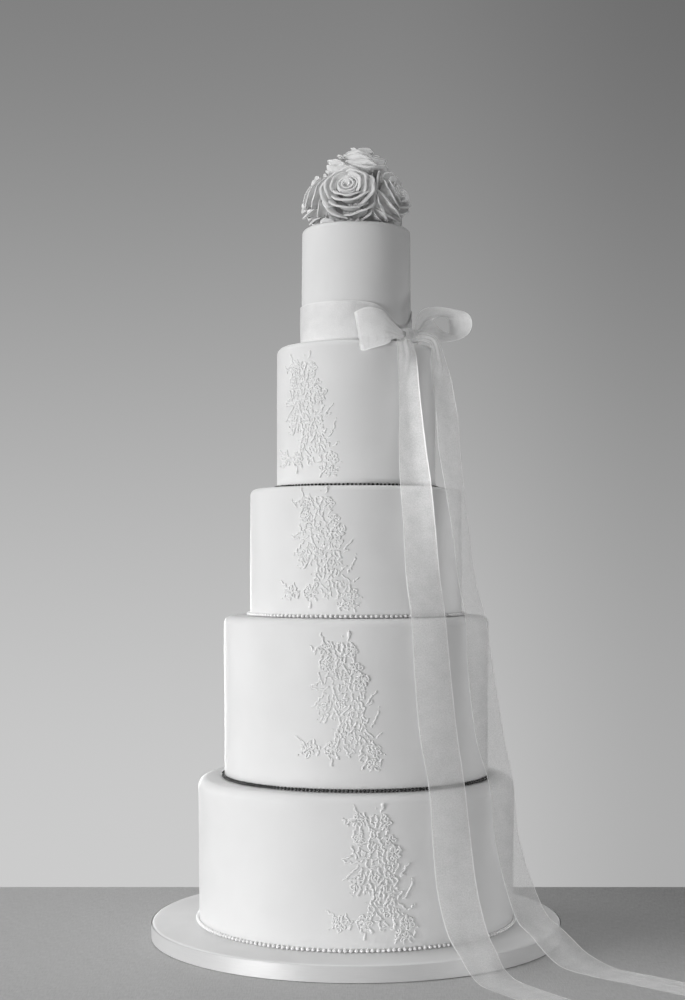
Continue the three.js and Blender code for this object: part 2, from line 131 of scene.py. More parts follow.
def grid_faces(rows, columns, close_rows=False, close_columns=False, start=0):
    """Quads over a grid of points laid down row by row."""
    faces = []
    for i in range(rows if close_rows else rows - 1):
        for j in range(columns if close_columns else columns - 1):
            k, m = (i + 1) % rows, (j + 1) % columns
            faces.append(
                (start + i * columns + j, start + i * columns + m,
                 start + k * columns + m, start + k * columns + j)
            )
    return faces


def revolve(outline, steps):
    """A closed solid of revolution from an outline that starts and ends on the axis."""
    rings = outline[1:-1]
    points = [polar(radius, TURN * j / steps, z) for radius, z in rings for j in range(steps)]
    faces = grid_faces(len(rings), steps, close_columns=True)
    low, high = len(points), len(points) + 1
    points += [Vector((0, 0, outline[0][1])), Vector((0, 0, outline[-1][1]))]
    last = (len(rings) - 1) * steps
    for j in range(steps):
        m = (j + 1) % steps
        faces += [(low, m, j), (high, last + j, last + m)]
    return points, faces


# ---- curves ----
def catmull_rom(points, share):
    """A point on the centripetal Catmull-Rom curve through points, as the CAD part draws it."""
    place = share * (len(points) - 1)
    i = min(int(place), len(points) - 2)
    t = place - i
    b, c = points[i], points[i + 1]
    a = points[i - 1] if i > 0 else 2 * b - c
    d = points[i + 2] if i + 2 < len(points) else 2 * c - b
    s0, s1, s2 = (max(np.linalg.norm(q - p) ** 0.5, 1e-4) for p, q in ((a, b), (b, c), (c, d)))
    leave = ((b - a) / s0 - (c - a) / (s0 + s1) + (c - b) / s1) * s1
    arrive = ((c - b) / s1 - (d - b) / (s1 + s2) + (d - c) / s2) * s1
    return (
        b + leave * t + (3 * (c - b) - 2 * leave - arrive) * t * t
        + (2 * (b - c) + leave + arrive) * t ** 3
    )


def sampled(points, steps):
    rows = [np.array(p, float) for p in points]
    return [catmull_rom(rows, i / steps) for i in range(steps + 1)]


# ---- materials ----
def feed(tree, node, inputs):
    """Links the inputs that are given as sockets, and sets the others."""
    for key, value in inputs.items():
        if isinstance(value, bpy.types.NodeSocket):
            tree.links.new(value, node.inputs[key])
        else:
            node.inputs[key].default_value = value


def add_node(tree, kind, inputs=None, **settings):
    node = tree.nodes.new(kind)
    for key, value in settings.items():
        setattr(node, key, value)
    feed(tree, node, inputs or {})
    return node


def noise(tree, place, scale, detail, roughness=0.5):
    """Noise with features about 1/scale metres across, as a number round 0.5."""
    return add_node(
        tree, "ShaderNodeTexNoise",
        {"Vector": place, "Scale": scale, "Detail": detail, "Roughness": roughness},
    ).outputs["Fac"]


def ranged(tree, value, low, high, from_low=0.3, from_high=0.7):
    return add_node(
        tree, "ShaderNodeMapRange",
        {"Value": value, "From Min": from_low, "From Max": from_high, "To Min": low, "To Max": high},
    ).outputs["Result"]


def reckoned(tree, operation, *numbers):
    """What a math node makes of one or two numbers."""
    return add_node(
        tree, "ShaderNodeMath", dict(enumerate(numbers)), operation=operation
    ).outputs[0]


def scaled(tree, place, scales):
    return add_node(
        tree, "ShaderNodeVectorMath", {0: place, 1: scales}, operation="MULTIPLY"
    ).outputs[0]


def axes(tree, vector):
    """The outputs X, Y and Z of a vector."""
    return add_node(tree, "ShaderNodeSeparateXYZ", {"Vector": vector}).outputs


def mixed(tree, factor, first, second, kind="RGBA"):
    """What lies between two colours, or between two numbers with the kind FLOAT."""
    return add_node(
        tree, "ShaderNodeMix", {"Factor": factor, "A": first, "B": second}, data_type=kind
    ).outputs["Result"]


def grey(tone):
    return (tone, tone, tone, 1)


def grey_between(tree, factor, dark, light):
    return mixed(tree, factor, grey(dark), grey(light))


def bumped(tree, height, distance, strength, under=None):
    inputs = {"Height": height, "Distance": distance, "Strength": strength}
    if under:
        inputs["Normal"] = under
    return add_node(tree, "ShaderNodeBump", inputs).outputs["Normal"]


def object_place(tree):
    return add_node(tree, "ShaderNodeTexCoord").outputs["Object"]


def stored_place(tree, name):
    return add_node(tree, "ShaderNodeAttribute", attribute_name=name).outputs["Vector"]


def make_material(name, inputs_of):
    """A material whose shader gets what inputs_of gives for the material's node tree."""
    material = bpy.data.materials.new(name)
    material.use_nodes = True
    tree = material.node_tree
    shader = next(n for n in tree.nodes if n.type == "BSDF_PRINCIPLED")
    feed(tree, shader, inputs_of(tree))
    return material


def icing_material(name, dark, light, pores, roughness):
    """Rolled icing: nearly even white, soft broad unevenness and a fine powdery grain."""

    def inputs_of(tree):
        place = object_place(tree)
        broad, grain = noise(tree, place, 14, 2), noise(tree, place, pores, 3, 0.6)
        swell = bumped(tree, broad, distance=0.0012, strength=0.5)
        return {
            "Base Color": grey_between(tree, ranged(tree, broad, 0, 1), dark, light),
            "Roughness": ranged(tree, grain, roughness - 0.06, roughness + 0.08),
            "Normal": bumped(tree, grain, distance=0.00012, strength=0.5, under=swell),
            "Specular IOR Level": 0.35,
            "Subsurface Weight": 0.12,
            "Subsurface Radius": (1, 1, 1),
            "Subsurface Scale": 0.003,
        }

    return make_material(name, inputs_of)


def bead_material(name, shade, tone, roughness, coat):
    def inputs_of(tree):
        spots = noise(tree, object_place(tree), 260, 1)
        return {
            "Base Color": grey_between(tree, ranged(tree, spots, 0, 1), shade, tone),
            "Roughness": ranged(tree, spots, roughness * 0.7, roughness * 1.3),
            "Coat Weight": coat,
            "Coat Roughness": 0.08,
        }

    return make_material(name, inputs_of)


def sugar_inputs(tree):
    """Dried sugar paste: matt, finely veined, and a little darker deep in the rose by painted shade."""
    reach = stored_place(tree, "petal")
    veins = add_node(
        tree, "ShaderNodeTexWave",
        {"Vector": reach, "Scale": 5.5, "Distortion": 2.2, "Detail": 2, "Detail Scale": 1.4},
        bands_direction="X",
    ).outputs["Fac"]
    grain = noise(tree, object_place(tree), 900, 2)
    # Painted shade: the colour darkens from the rim down to the foot of each petal, deep in the rose.
    painted_shade_up_petal = ranged(tree, axes(tree, reach)["Y"], 0, 1, 0.1, 0.8)
    ribs = bumped(tree, veins, distance=0.0002, strength=0.5)
    return {
        "Base Color": grey_between(tree, painted_shade_up_petal, 0.80, 0.94),
        "Roughness": ranged(tree, grain, 0.5, 0.7),
        "Normal": bumped(tree, grain, distance=0.0001, strength=0.4, under=ribs),
        "Specular IOR Level": 0.3,
        "Subsurface Weight": 0.5,
        "Subsurface Radius": (1, 1, 1),
        "Subsurface Scale": 0.005,
    }


WEAVE = dict(pitch=0.45, closing=1.1, closed=0.6)  # thread to thread, and from the ribbon's edge


def organza_material(name, body, edge, sparkle):
    """Sheer woven ribbon: a fine open weave, bright closed edges and a glimmer where it turns, partly real
    roughness and bumps and partly painted glints in its colour.
    body and edge are how much they cover, and sparkle is how bright the dullest spots of the painted
    glints are."""

    def inputs_of(tree):
        place, half = stored_place(tree, "weave"), RIBBON_WIDTH / 2
        across = axes(tree, place)  # X runs from edge to edge and Y along the ribbon, in metres
        warp, weft = (
            reckoned(tree, "SINE", reckoned(tree, "MULTIPLY", across[axis], TURN / (WEAVE["pitch"] * MM)))
            for axis in "XY"
        )
        threads = reckoned(tree, "MAXIMUM", warp, weft)
        glimmer, cloud = noise(tree, place, 650, 3, 0.7), noise(tree, place, 60, 2)
        off_middle = reckoned(tree, "ABSOLUTE", reckoned(tree, "SUBTRACT", across["X"], half * MM))
        selvedge = ranged(
            tree, off_middle, 0, 1, (half - WEAVE["closing"]) * MM, (half - WEAVE["closed"]) * MM
        )
        open_weave = ranged(tree, threads, body - 0.12, body + 0.06, -0.6, 0.9)
        uneven = reckoned(tree, "ADD", open_weave, ranged(tree, cloud, -0.05, 0.05))
        # Painted glints: the glimmer speckles the colour between sparkle and white, and the closed edges
        # stay white.
        bright = reckoned(tree, "MAXIMUM", ranged(tree, glimmer, sparkle, 1), selvedge)
        cloth = bumped(tree, threads, distance=0.00006, strength=0.5)
        return {
            "Alpha": mixed(tree, selvedge, uneven, edge, "FLOAT"),
            "Base Color": grey_between(tree, bright, 0, 0.99),
            "Roughness": ranged(tree, glimmer, 0.28, 0.5),
            "Normal": bumped(tree, glimmer, distance=0.0007, strength=0.5, under=cloth),
            "Sheen Weight": 0.3,
            "Sheen Roughness": 0.4,
            "Specular IOR Level": 0.6,
        }

    return make_material(name, inputs_of)


def satin_inputs(tree):
    """Woven satin: long smooth threads along the ribbon, and broad soft waves in it."""
    place = stored_place(tree, "weave")
    threads = noise(tree, scaled(tree, place, (2600, 60, 1)), 1, 2)
    waves = bumped(tree, noise(tree, place, 24, 1), distance=0.0008, strength=0.4)
    return {
        "Base Color": grey_between(tree, ranged(tree, threads, 0, 1), 0.80, 0.84),
        "Roughness": ranged(tree, threads, 0.3, 0.38),
        "Normal": bumped(tree, threads, distance=0.00003, strength=0.25, under=waves),
        "Metallic": 0.4,
        "Sheen Weight": 0.2,
        "Specular IOR Level": 0.6,
    }


FONDANT = icing_material("fondant", 0.80, 0.85, pores=1400, roughness=0.52)
BOARD_ICING = icing_material("board_icing", 0.77, 0.83, pores=900, roughness=0.58)
PIPED_ICING = icing_material("piped_icing", 0.92, 0.96, pores=1800, roughness=0.42)
BEADS = {
    "pearl": bead_material("pearl", 0.97, 0.99, roughness=0.4, coat=0.5),
    "jet": bead_material("jet", 0.02, 0.012, roughness=0.2, coat=0.3),
}
PETAL = make_material("sugar_petal", sugar_inputs)
# Lit copies of one organza: the band, loops and knot are painted brighter than the tails by their higher
# sparkle.
ORGANZA = organza_material("organza", body=0.50, edge=0.8, sparkle=0.72)
ORGANZA_LOOP = organza_material("organza_loop", body=0.76, edge=0.9, sparkle=0.92)
ORGANZA_BAND = organza_material("organza_band", body=0.86, edge=0.96, sparkle=0.97)
ORGANZA_KNOT = organza_material("organza_knot", body=0.90, edge=0.96, sparkle=0.9)
SATIN = make_material("board_satin", satin_inputs)


# ---- board and tiers ----
def drum_outline(radius, top_radius, bottom, top, rounding, rows=14, foot=0.8, arc=9):
    """Outline of an iced drum, from the middle of its base round to the middle of its top."""
    outline = [(0, bottom), (radius - foot, bottom)]
    shoulder = top - rounding
    for i in range(rows + 1):
        share = i / rows
        z = bottom + foot + (shoulder - bottom - foot) * share
        outline.append((radius + (top_radius - radius) * share, z))
    for i in range(1, arc + 1):
        turn = i / arc * math.pi / 2
        outline.append(
            (top_radius - rounding * (1 - math.cos(turn)), shoulder + rounding * math.sin(turn))
        )
    for share in (0.97, 0.8, 0.6, 0.4, 0.2):
        outline.append(((top_radius - rounding) * share, top))
    return outline + [(0, top)]


def unevenness(seed, amount):
    """A slow in and out of the icing, as hands leave it, that is the same each run."""
    dice = random.Random(seed)
    waves = [
        (dice.randint(1, 5), dice.uniform(0.01, 0.05), dice.uniform(0, TURN), dice.uniform(0.4, 1))
        for _ in range(6)
    ]
    total = sum(w[3] for w in waves)

    def push(azimuth, z):
        return amount / total * sum(
            size * math.sin(lobes * azimuth + rise * z + phase) for lobes, rise, phase, size in waves
        )

    return push


def iced_drum(name, node, outline, material, slot, seed, amount, steps=180):
    points, faces = revolve(outline, steps)
    push = unevenness(seed, amount)
    for p in points:
        radius = math.hypot(p.x, p.y)
        if radius > 1:
            grown = 1 + push(math.atan2(p.x, -p.y), p.z) / radius
            p.x *= grown
            p.y *= grown
    return mesh_piece(name, points, faces, material, [node], slot)


def make_board():
    radius, height, rounding = BOARD.values()
    outline = drum_outline(radius, radius, 0, height, rounding, rows=4)
    iced_drum("iced_board", "board", outline, BOARD_ICING, "board_icing", seed=3, amount=0)


def woven_ribbon(name, node, rows, material, slot, flat, closed=False, shares=None):
    """A ribbon from rows of points across it, at these shares of its width. Each point also gets
    its place on the flat ribbon, in metres, for the weave."""
    columns = len(rows[0])
    points, faces = [p for row in rows for p in row], grid_faces(len(rows), columns, close_rows=closed)
    piece = mesh_piece(name, points, faces, material, [node], slot)
    shares = shares or [j / (columns - 1) for j in range(columns)]
    places, along = [], 0.0
    for i, row in enumerate(rows):
        if i:
            along += sum((Vector(p) - Vector(q)).length for p, q in zip(row, rows[i - 1])) / columns
        places += [(flat[0] * share, along * MM, 0.0) for share in shares]
    store_vectors(piece, "weave", places)


def make_board_ribbon(steps=240, across=6):
    """Satin ribbon stretched round the edge of the board."""
    low, width, thickness = BOARD_RIBBON.values()
    radius = BOARD["radius"] + GAP + thickness
    rings = []
    for i in range(steps):
        azimuth = math.pi + TURN * i / steps
        rings.append([polar(radius, azimuth, low + width * j / across) for j in range(across + 1)])
    woven_ribbon(
        "satin_board_ribbon", "board_ribbon", rings, SATIN, "satin_ribbon",
        (width * MM, TURN * radius * MM), closed=True,
    )


# ---- piped lace ----
SPRAYS = {  # azimuth of the middle, height of the foot above the tier's base, drawn out in height
    "tier_5": (4.6, 6.1, 1),
    "tier_4": (-7.8, 19.2, 1),
    "tier_3": (-21.4, 5.5, 0.92),
    "tier_2": (-42.3, 8.2, 0.95),
}
# Flat design of the spray: strokes of the piping bag, each a list of u to the right and v up from
# the foot. A line is even, a bold one thicker, and a drop swells to its end.
LACE = {
    "line": [
        # crown and left edge
        [(-14.5, 126.5), (-13.5, 123), (-12, 119), (-13, 116)], [(-9.5, 120), (-7.5, 118.5), (-6, 115.5)],
        [(-20.5, 111), (-19, 113.5), (-14, 115.3), (-9, 115.2), (-5, 114)],
        [(-25, 115), (-22.5, 111.5), (-20, 108)],
        [(-5.5, 120.5), (-4, 116), (-3, 112), (-2, 108), (-0.5, 103.5)], [(-7.2, 111.8), (-5.8, 109)],
        [(-10.5, 109.3), (-13, 108), (-13.8, 104.5), (-15.8, 101), (-15.6, 97.5), (-14.5, 94.5)],
        [(-8, 108.5), (-9, 106), (-10.5, 104)], [(-6.5, 106), (-7.5, 104.5), (-9.5, 102.5)],
        [(-5.5, 102), (-8, 100), (-11, 98.5), (-12.8, 99.5)], [(-5.5, 98), (-9, 95.5), (-10.3, 92.5)],
        [(-8, 91.5), (-5, 93.3), (-1.5, 93.5)], [(-8, 90), (-10, 88), (-10.8, 84), (-10.5, 80.5)],
        [(-17, 91.5), (-16.2, 87.5), (-14.5, 83), (-12, 79)],
        [(-8, 86), (-5.5, 86), (-4, 83.5), (-4.5, 81)],
        # middle, upper half
        [(1, 105.5), (1, 101), (-0.5, 96), (-1, 91), (0.5, 86.5), (1.5, 84.5)],
        [(1, 105.5), (4.2, 105), (4, 101), (2.4, 96)],
        [(5.5, 93), (4.5, 91), (4, 88), (2.5, 85.2), (-2, 84.8)],
        [(3, 119), (1.2, 117), (0.3, 114.5), (1.5, 111), (2.2, 109)],
        [(10.5, 118), (9.8, 114), (10.5, 110.5), (9, 107.5), (8, 106)],
        [(12, 118.5), (14.2, 116.8), (12.6, 113.8), (14, 114.2), (16.6, 111.2), (14, 109.5), (12, 106.5)],
        [(10, 104.8), (14, 106), (16, 104.6), (15.5, 102.5), (13.5, 101)],
        [(10.8, 97), (13, 98.3), (13.2, 96.2)], [(16, 98.8), (18, 97), (17.5, 95), (15, 94.5)],
        [(11.5, 88.5), (13.5, 90), (14.5, 93), (16.5, 91.5)],
        [(18, 93), (20.2, 92.3), (21.5, 90), (18.5, 88.8)], [(11.5, 88), (12.5, 85), (13, 82)],
        [(9.5, 85.5), (7, 85.3), (6.6, 82.5), (7.3, 80), (4.8, 79.2), (4.6, 76.5)],
        [(9.5, 82.5), (11.5, 79), (13, 76), (14, 73.5)], [(1.5, 79.8), (1.5, 77), (2.6, 75)],
        # flower to the right
        [(27, 89.5), (29.4, 86), (28, 84.3), (26, 87)],
        [(27.5, 84.5), (25, 83.3), (28, 80.5), (25.8, 79.8)],
        [(20, 81.3), (23, 79.3), (25, 76.5), (23.3, 74.8)], [(19.5, 75.3), (21.8, 76.2)],
        [(26.5, 73.5), (25, 70), (23.5, 67), (22.5, 65.5)],
        # leaves to the left
        [(-25, 78.3), (-20, 79.5), (-15.5, 82)],
        [(-24.5, 77), (-22, 75.6), (-17.5, 75.4), (-13, 75.4), (-9, 76.5), (-6.5, 78)],
        [(-10.5, 72.5), (-13.5, 70), (-16, 67), (-18.5, 64.5), (-21, 61.5), (-24, 58.8)],
        [(-19, 60), (-16, 59.6), (-11, 61)], [(-7.3, 71), (-8.3, 68), (-9.5, 65.5)],
        [(-7, 66), (-8.3, 63.5), (-9.7, 61), (-10, 57.5), (-9.5, 54.5)],
        [(-6.2, 64), (-5, 61.3), (-7, 58), (-8, 54)],
        [(-15.5, 58), (-13.6, 54.5), (-13.4, 50), (-14, 47.5)], [(-3, 54.5), (-4, 51), (-5, 46.5)],
        # middle, lower half
        [(1, 73), (3.6, 74.2)], [(2, 71), (4.6, 71.6)], [(0, 69.5), (0.6, 66), (-0.5, 62), (-0.4, 59.5)],
        [(2.6, 66.5), (2, 62), (3, 58)], [(20, 69), (20.3, 65.5)], [(13.5, 72.5), (14.2, 69), (13.4, 65)],
        [(4.6, 65.5), (7, 64), (8, 60.5), (6.5, 58.3), (4.8, 60.3), (4.4, 63.5), (5.5, 65.2)],
        [(7.5, 47.5), (6, 44.5), (5.4, 41)],
        [(15.2, 54), (14.5, 51.3), (16.8, 49), (19.5, 50.5), (18.5, 54)],
        [(19.5, 62), (20, 59), (22.5, 56.5)], [(25.2, 53), (24.3, 51), (26, 48.8)],
        [(8.8, 37.5), (7.5, 33.8)], [(4.5, 40), (5.3, 36.7), (6.8, 34.5)],
        [(17.6, 38.5), (16.5, 34.5), (17.5, 31), (18.6, 27.5), (18, 25)],
        [(20.5, 34), (21.5, 30), (21, 26.5), (21.6, 24)],
        [(1.5, 40), (1, 37), (-0.6, 34.5), (-0.9, 31.5), (-1.2, 28)],
        [(-0.6, 35), (1.6, 35.5), (3.6, 33.2), (2.4, 30.8), (0, 30.6)],
        [(-0.8, 30.5), (1.8, 30.4), (2.3, 27.6), (0.6, 26)],
        # branches to the right
        [(36.2, 74), (33, 71), (31, 68), (29.5, 65.5), (28, 63)], [(33, 65.5), (31, 63), (28.5, 61.5)],
        [(38.8, 57), (37.6, 52), (35.5, 48), (34.5, 45), (33.3, 43), (30.5, 41)],
        [(26.5, 39), (29, 36), (31.5, 34), (33, 31.5)], [(41, 35), (38.5, 33.5), (36.2, 30)],
        # small flower and leaves at the foot
        [(1, 27), (0, 23.5), (-0.9, 20.5), (-1.2, 17.5)], [(-1, 23), (-3.5, 21), (-5.3, 20)],
        [(-5.2, 25.5), (-7, 27), (-9, 26), (-9.8, 23.5), (-11.8, 21), (-11, 18), (-9.3, 15.5)],
        [(-5.8, 24.3), (-4.5, 21.2)], [(-3, 18), (-6, 17.3), (-9, 15.8), (-8.2, 13.5), (-6.3, 11.8)],
        [(5.3, 30.5), (7, 27.3), (9.5, 24.5), (11.6, 22.8)],
        [(5.3, 23.3), (8, 20), (9.4, 17.5), (10, 14.5), (13.3, 13.8)],
        [(12, 21.5), (15, 19.5), (16.6, 16.6)], [(11.2, 16), (13.4, 17.2)],
        [(-40, 31.3), (-35.5, 28.5), (-32.5, 26.5), (-30.5, 23), (-30, 19)], [(-34.2, 24.3), (-32.8, 23)],
        [(-25.5, 19.5), (-29, 16.3), (-29.6, 13.2), (-27.6, 12.8), (-25.5, 17)],
        [(-29.5, 20.3), (-26, 19.6)], [(-22.5, 29.5), (-21, 25), (-19.5, 21.5), (-18, 20)],
        [(-17, 23), (-16.8, 19.5)],
        # foot
        [(31, 26), (29, 23), (29.2, 20), (28.4, 16.5)], [(37, 24.3), (38.8, 22)],
        [(33.4, 19.3), (34, 15.8)], [(38, 20.5), (37.4, 17), (38.2, 12.8)], [(31, 11.5), (32.6, 8)],
        [(42, 11), (40.4, 7.8)], [(36, 12), (35.2, 9), (34, 6.5), (32.5, 4), (31, 1)],
        [(36, 6.3), (39.5, 7), (41, 5.3)], [(36, 4), (38, 1.8), (39.6, 0.6)],
    ],
    "bold": [
        [(5.5, 119), (6.8, 115), (6, 112.5), (4.8, 109.5), (4.4, 107)],
        [(-2, 79), (-3.5, 76.5), (-2.6, 73), (-2, 70)],
        [(8.8, 104.5), (7.5, 101), (6, 99), (7, 96.5), (8.8, 94), (9.8, 91), (11.5, 88.5)],
        [(25, 90.7), (22, 88.5), (18.5, 86.5), (16.5, 84), (16, 81), (16.5, 77), (17, 73.5)],
        [(8.6, 72), (7, 69), (8.6, 67.8), (9.8, 64.5)],
        [(-1.8, 58.3), (-0.5, 56), (1, 53), (2.6, 49.5), (3, 45), (2.5, 41.5), (0, 40)],
        [(12, 61), (10, 57.5), (6.6, 54.5), (5, 52.3), (6.4, 50.3)],
        [(10.6, 55), (9.6, 51), (8.8, 46), (9, 41), (8.5, 38)],
        [(16.2, 60), (15.5, 57), (12.6, 53.5), (12, 49), (12.3, 45), (12.5, 41)],
        [(21.4, 64), (23.5, 61), (24.8, 58), (24.3, 55.2), (22, 54)],
        [(18, 45.5), (16.4, 43), (15.8, 40), (13.4, 37.3), (12, 34.3)],
        [(20.5, 43.3), (20, 39.5), (19.4, 36.5)], [(23, 42), (22.4, 39), (22, 35.5)],
        [(30, 48.5), (27.5, 45.7), (25.5, 44), (26, 41.3)],
        [(23, 33), (24.5, 30), (26, 27.5), (26.8, 24.8)],
        [(23.5, 23.5), (22.2, 21.5), (23.4, 18), (22, 15.5), (19.5, 14.4)],
        [(33.5, 28), (34, 24.5), (32.8, 21.8)], [(28, 14.5), (27.6, 10), (26.5, 7), (24, 4.2), (23.5, 1)],
    ],
    "drop": [
        [(9.5, 120.5), (11.5, 125), (10.8, 129)], [(-7, 53), (-9, 50), (-10.5, 47), (-12.3, 44.8)],
        [(-4.2, 12.3), (-4.8, 8), (-5.4, 4.3)], [(-1.2, 16.5), (0.3, 14), (1.6, 10.8)],
        [(-24.6, 28), (-25.3, 25), (-25.6, 22)], [(-16.5, 19), (-18, 16.5), (-19, 13.6)],
        [(-32.2, 22.3), (-34, 19.8)], [(-33.2, 17.4), (-34.4, 14.8)],
    ],
}
LACE_FLOWERS = [  # u and v of the middle, number of petals, their length, direction of the first
    (-27, 20.5, 5, 6.2, 20), (-3.5, 21, 5, 6.2, 60), (-12, 113, 5, 5.6, 100), (22.5, 83, 5, 5.8, 30),
    (-12.5, 57, 5, 6.5, 10), (14, 111, 5, 5.2, 0), (36, 19, 5, 5.6, 50), (-9, 97, 4, 5.4, 80),
    (33, 6.5, 4, 5.2, 0), (19, 95, 4, 5.0, 10),
]
LACE_DOTS = [
    (-24.8, 115.4), (-4.2, 80.3), (-25.2, 78.4), (-18.5, 47.5), (-16, 45), (-4, 38.8), (39, 59.5),
    (41.7, 35.6), (-40.3, 31.4), (-37.5, 14), (44.5, 15.2), (5, 124.5), (-14.8, 127.3), (27.5, 26.2),
]
LACE_BODY = [  # v, then the u of the left and right edge of the closely piped part
    (120, -12, 16), (108, -15, 17), (96, -15, 19), (88, -10, 28), (77, -5, 26), (66, -9, 24),
    (55, -9, 26), (47, 0, 27), (38, 0, 28), (30, 1, 36), (23, 20, 40), (2, 23, 40),
]
BODY_SPAN = (4, 117)  # from the lowest curl's v to the highest one's
CURLS = dict(tries=420, radius=(1.3, 2.1), stretch=1.3, clear=1.3, open=1.1, points=9)
FILL = dict(top=118, lowest=1.2, apart=3.0, rows=3.4, length=(3, 6), step=0.9, clear=1.4, lean=0.17,
            wave=0.5, wave_length=4.4)
STROKES = dict(line=0.9, bold=1.1, drop=1.4, fill=0.8)  # half width of each kind of stroke
PIPE = dict(sides=6, lift=0.38, flat=0.88, step=0.7, waver=0.3, wriggle=0.85, lowest=0.9)


def on_tier(tier, spray, u, v, lift):
    azimuth, foot, stretch = spray
    z = tier["bottom"] + foot + v * stretch
    radius = tier_radius(tier, z)
    return polar(radius + lift, math.radians(azimuth) + u / radius, z)


def piped_line(place, path, widths, points, faces):
    """Adds one rounded line of piping along a flat path, a little sunk in the icing."""
    count, sides, start = len(path), PIPE["sides"], len(points)
    for i, (u, v) in enumerate(path):
        before, after = path[max(i - 1, 0)], path[min(i + 1, count - 1)]
        du, dv = after[0] - before[0], after[1] - before[1]
        length = math.hypot(du, dv) or 1
        su, sv = -dv / length, du / length
        for k in range(sides):
            turn = TURN * k / sides
            aside, up = widths[i] * math.cos(turn), PIPE["flat"] * widths[i] * math.sin(turn)
            points.append(place(u + su * aside, v + sv * aside, up + PIPE["lift"]))
    faces += grid_faces(count, sides, close_columns=True, start=start)
    last = start + (count - 1) * sides
    faces.append(tuple(start + k for k in reversed(range(sides))))
    faces.append(tuple(last + k for k in range(sides)))


def piped_stroke(dice, kind, stroke):
    """A stroke as the hand pipes it: a little off the drawing, uneven, and rounded at its ends."""
    waver, half_width = PIPE["waver"], STROKES[kind]
    drawn = [
        (u + dice.uniform(-waver, waver), max(v + dice.uniform(-waver, waver), PIPE["lowest"]))
        for u, v in stroke
    ]
    length = sum(math.dist(p, q) for p, q in zip(drawn, drawn[1:]))
    steps = max(round(length / PIPE["step"]), 3)
    phase, path, widths = dice.uniform(0, TURN), [], []
    wriggle = PIPE["wriggle"] * (0.3 if kind in ("drop", "fill") else 1)
    for i, (u, v) in enumerate(sampled(drawn, steps)):
        share = i / steps
        end = min(share, 1 - share) * length / half_width
        width = half_width * (0.5 + 0.5 * min(end, 1)) * (1 + 0.16 * math.sin(2.3 * i + phase))
        if kind == "drop":
            width *= 0.5 + 0.9 * share ** 1.2
        widths.append(width)
        path.append(
            (u + wriggle * math.sin(0.85 * i + phase), v + wriggle * math.cos(0.75 * i + 2 * phase))
        )
    return path, widths


def flower_strokes():
    """The petals of the small flowers, each a looped line like a drop."""
    half = ((0.12, 0), (0.45, 0.24), (0.85, 0.26), (1, 0))
    outline = half + tuple((a, -b) for a, b in half[-2::-1])
    petals = []
    for u, v, count, length, first in LACE_FLOWERS:
        for k in range(count):
            turn = math.radians(first + 360 * k / max(count, 5))
            petals.append([
                (u + length * (a * math.cos(turn) - b * math.sin(turn)),
                 v + length * (a * math.sin(turn) + b * math.cos(turn))) for a, b in outline
            ])
    return petals


def fill_strokes(dice, taken):
    """Small curls, then short strokes, that fill the body of the spray where there is room left."""
    heights, lefts, rights = ([row[k] for row in reversed(LACE_BODY)] for k in range(3))
    taken, strokes = np.array(taken), []

    def sides(v):
        return np.interp(v, heights, lefts), np.interp(v, heights, rights)

    def room(u, v):
        return np.min(np.hypot(taken[:, 0] - u, taken[:, 1] - v))

    for _ in range(CURLS["tries"]):
        v, radius = dice.uniform(*BODY_SPAN), dice.uniform(*CURLS["radius"])
        start, path = dice.uniform(0, TURN), []
        u = dice.uniform(*sides(v))
        for k in range(CURLS["points"]):
            turn = start + (TURN - CURLS["open"]) * k / (CURLS["points"] - 1)
            path.append((u + radius * math.cos(turn), v + CURLS["stretch"] * radius * math.sin(turn)))
        if min(room(*point) for point in path) > CURLS["clear"]:
            strokes.append(path)
            taken = np.vstack([taken, path])
    for i in range(int(FILL["top"] / FILL["rows"])):
        top = FILL["top"] - i * FILL["rows"]
        left, right = sides(top)
        for k in range(int((right - left) / FILL["apart"])):
            foot = left + FILL["apart"] * (k + dice.uniform(0.1, 0.9))
            phase, length = dice.uniform(0, TURN), dice.uniform(*FILL["length"])
            v, path = top, []
            while v > max(top - length, FILL["lowest"]):
                sway = FILL["wave"] * math.sin(TURN * v / FILL["wave_length"] + phase)
                u = foot + FILL["lean"] * (top - v) + sway
                if room(u, v) < FILL["clear"]:
                    break
                path.append((u, v))
                v -= FILL["step"]
            if len(path) > 2:
                strokes.append(path)
                taken = np.vstack([taken, path])
    return strokes


def make_lace(name, tier):
    dice = random.Random(name)
    points, faces, taken = [], [], []

    def place(u, v, lift):
        return on_tier(tier, SPRAYS[name], u, v, lift)

    for kind, strokes in LACE.items():
        for stroke in strokes:
            path, widths = piped_stroke(dice, kind, stroke)
            piped_line(place, path, widths, points, faces)
            taken += path
    petals = flower_strokes()
    taken += [point for petal in petals for point in petal]
    for stroke in petals + fill_strokes(dice, taken):
        piped_line(place, *piped_stroke(dice, "fill", stroke), points, faces)
    for u, v in LACE_DOTS:
        across = dice.uniform(0.8, 1.1)
        piped_line(place, [(u - 0.5, v), (u, v), (u + 0.5, v)], [0.5, across, 0.5], points, faces)
    mesh_piece("piped_lace_" + name, points, faces, PIPED_ICING, slot="fondant")


def make_tiers():
    for seed, (name, tier) in enumerate(TIERS.items(), start=20):
        outline = drum_outline(
            tier["base"], tier["top"], tier["bottom"], tier["ceiling"], tier["rounding"]
        )
        iced_drum("iced_" + name, name, outline, FONDANT, "fondant", seed, amount=0.35)
        if name in SPRAYS:
            make_lace(name, tier)


# ---- beads ----
STRANDS = {  # CAD node, radius of its cord, bead radius, spacing, material
    "tier_5": ("pearls_tier_5", 1.75, 1.75, 4.95, "pearl"),
    "tier_4": ("black_beads_tier_4", 1.55, 1.68, 3.85, "jet"),
    "tier_3": ("pearls_tier_3", 1.65, 1.7, 4.8, "pearl"),
    "tier_2": ("black_beads_tier_2", 1.45, 1.4, 4.05, "jet"),
}
BEAD_SQUASH = 0.96  # height of a bead over its width


